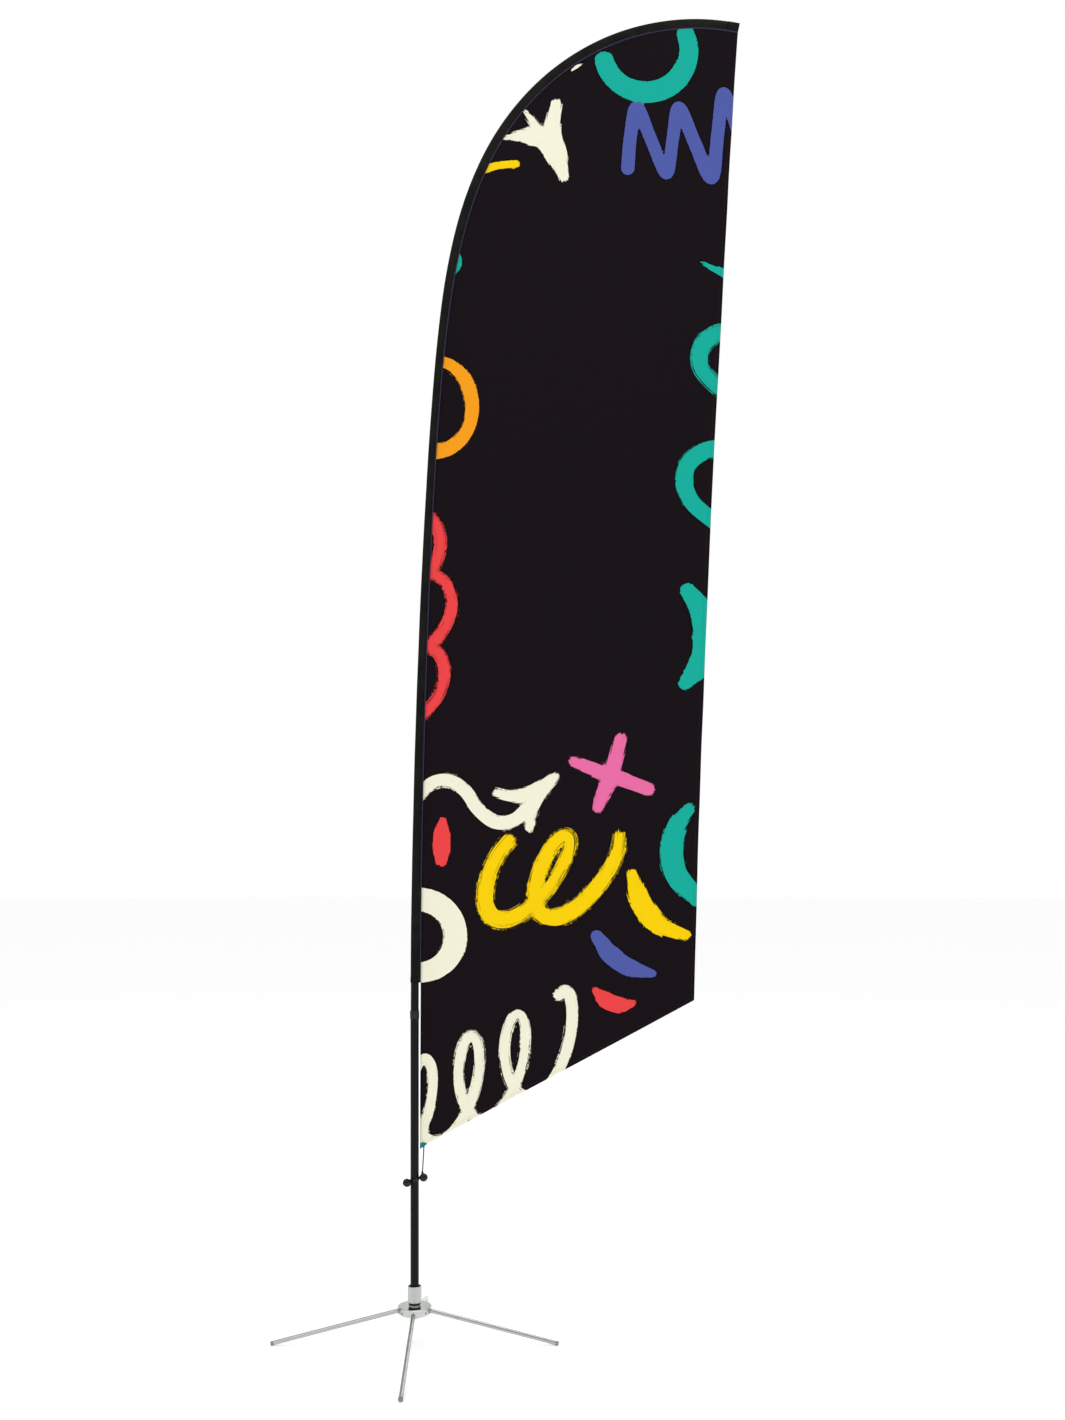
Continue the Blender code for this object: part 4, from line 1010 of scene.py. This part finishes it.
fly_run = np.arange(0.004, 0.965, STITCH_STEP / FLY_LENGTH)
fly_width = np.linalg.norm(fly_points(fly_run) - luff_points(fly_run), axis=1)
foot_run = np.arange(0.035, 0.99, STITCH_STEP / FOOT_LENGTH)
for side, lift in (("front", -0.00032), ("back", 0.00100)):
    for edge, across, along in (("fly", 1 - HEM_SEAM / fly_width, fly_run),
                                ("foot", foot_run, 0 * foot_run + HEM_SEAM / LUFF_LENGTH)):
        spots = on_cloth(across, along, lift)
        sewn(f"{edge}_stitches_{side}", spots, np.gradient(spots, axis=0))


# --- corner tab ---
# A piece of teal webbing, folded over the flag's lowest corner and sewn through, that the tension
# cord is caught in.

TAB_TOP, TAB_WIDTH = 0.5277, 0.0177


def blunted(value, power):
    """A sine or cosine that lingers near its ends, so that a circle drawn with it is nearly a box."""
    return np.sign(value) * np.abs(value) ** power


def lie_of_tab(u, v):
    """The folded webbing: a flat loop round the corner, thickest at its lower fold."""
    turn = math.tau * v
    across = LUFF_X + TAB_WIDTH * u
    foot = TAB_TOP - 0.0164 + 0.0117 * u
    middle, half = (TAB_TOP + foot) / 2, (TAB_TOP - foot) / 2
    thick = (0.0011 + 0.0007 * (np.cos(turn) < -0.6)) * blunted(np.sin(turn), 0.6)
    return np.stack([POLE_X + across, thick, middle + half * blunted(np.cos(turn), 0.5)], 1)


webbing = Finish("teal_webbing", Specular_IOR_Level=0.25)
picks = knit(webbing, 18, 26)
webbing.paint(Base_Color=picks.between(colour(0, 104, 124), colour(24, 150, 170)), Roughness=0.66 + picks * 0.15,
              Normal=picks.bump(0.0003, 0.6))
flag_pieces.append(finished("corner_webbing", closed_up(rolled(14, 28, lie_of_tab)), webbing, "mast",
                            ["corner_tab"]))


def lie_of_loop(u, v):
    """The end of the webbing, wrapped round the cord's top and sewn to itself."""
    turn = math.tau * u
    swell = np.where(at_ends(v), 0.70, 1.0) * (1 + 0.06 * np.sin(math.tau * 2 * v))
    out = (CORD_RADIUS + 0.0008) * swell
    return np.stack([cord_path[0, 0] + out * np.cos(turn), 0.85 * out * np.sin(turn),
                     cord_path[0, 2] - 0.0030 + 0.0078 * v + 0.0012 * np.cos(turn)], 1)


flag_pieces.append(finished("webbing_loop", closed_up(rolled(24, 12, lie_of_loop)), webbing, "mast"))


# --- tensioner ---
# A black rubber band stretched round the pole at a slant. Each end is a stalk with a glossy ball on
# it, and the right ball takes the cord.

BAND_Z, BAND_HEIGHT, BAND_INNER, BAND_THICKNESS, BAND_SLANT = 0.4315, 0.009, 0.0113, 0.0016, math.radians(15)
BALL_RADIUS, BALL_DISTANCE, MOULD_LINE = 0.0108, 0.0240, 0.00008
STALK_RADIUS, STALK_START, STALK_END = 0.002, 0.0121, 0.0241
BALLS = {"left": (-141.57, 0.4266), "right": (-9.07, 0.4380)}


def lie_of_band(u, v):
    """A flat ring with rounded edges, tilted so that it still hugs the pole."""
    turn, round_edge = math.tau * u, math.tau * v
    out = BAND_INNER + BAND_THICKNESS / 2 * (1 + blunted(np.cos(round_edge), 0.6))
    up = BAND_HEIGHT / 2 * blunted(np.sin(round_edge), 0.5)
    across = out * np.cos(turn)
    return np.stack([POLE_X + across, out * np.sin(turn), BAND_Z + up + across * math.tan(BAND_SLANT)], 1)


half_hole = STALK_RADIUS + PLAY
widest = math.asin(half_hole / BALL_RADIUS)
stalks = []
for side, (degrees, height) in BALLS.items():
    facing = Matrix.Translation((0, 0, height)) @ Matrix.Rotation(math.radians(degrees), 4, "Z")
    stalks.append(settled(lengthwise(rod(STALK_RADIUS, STALK_START, STALK_END)), facing))
    ball = lengthwise(spun([(half_hole, -BALL_RADIUS * math.cos(widest) + 0.0004), *[
        (BALL_RADIUS * math.sin(turn) + MOULD_LINE * (abs(turn - math.pi / 2) < 0.03), -BALL_RADIUS * math.cos(turn))
        for turn in np.linspace(widest + 0.06, math.pi - widest - 0.06, 41)],
        (half_hole, BALL_RADIUS * math.cos(widest) - 0.0004)], True, 64))
    bmesh.ops.translate(ball, verts=ball.verts, vec=(BALL_DISTANCE, 0, 0))
    finished(f"ball_{side}", settled(ball, facing), rubber_black, "tensioner",
             [f"toggle_ball_{side}"])
finished("tension_band", carved(rolled(72, 24, lie_of_band), stalks, "UNION"), rubber_black, "tensioner",
         ["elastic_band"], crease=50)
collar_at = Matrix.Translation((cord_path[-1, 0] - POLE_X, cord_path[-1, 1], cord_path[-1, 2]))
finished("cord_collar", settled(spun([
    (0.00185, -0.0010), (0.0033, -0.0025), (0.0033, 0.0008), (0.0030, 0.0016), (0.0027, 0.0042), (0.0023, 0.0047),
    (0.00185, 0.0047)], steps=40), collar_at), rubber_black, "tensioner")
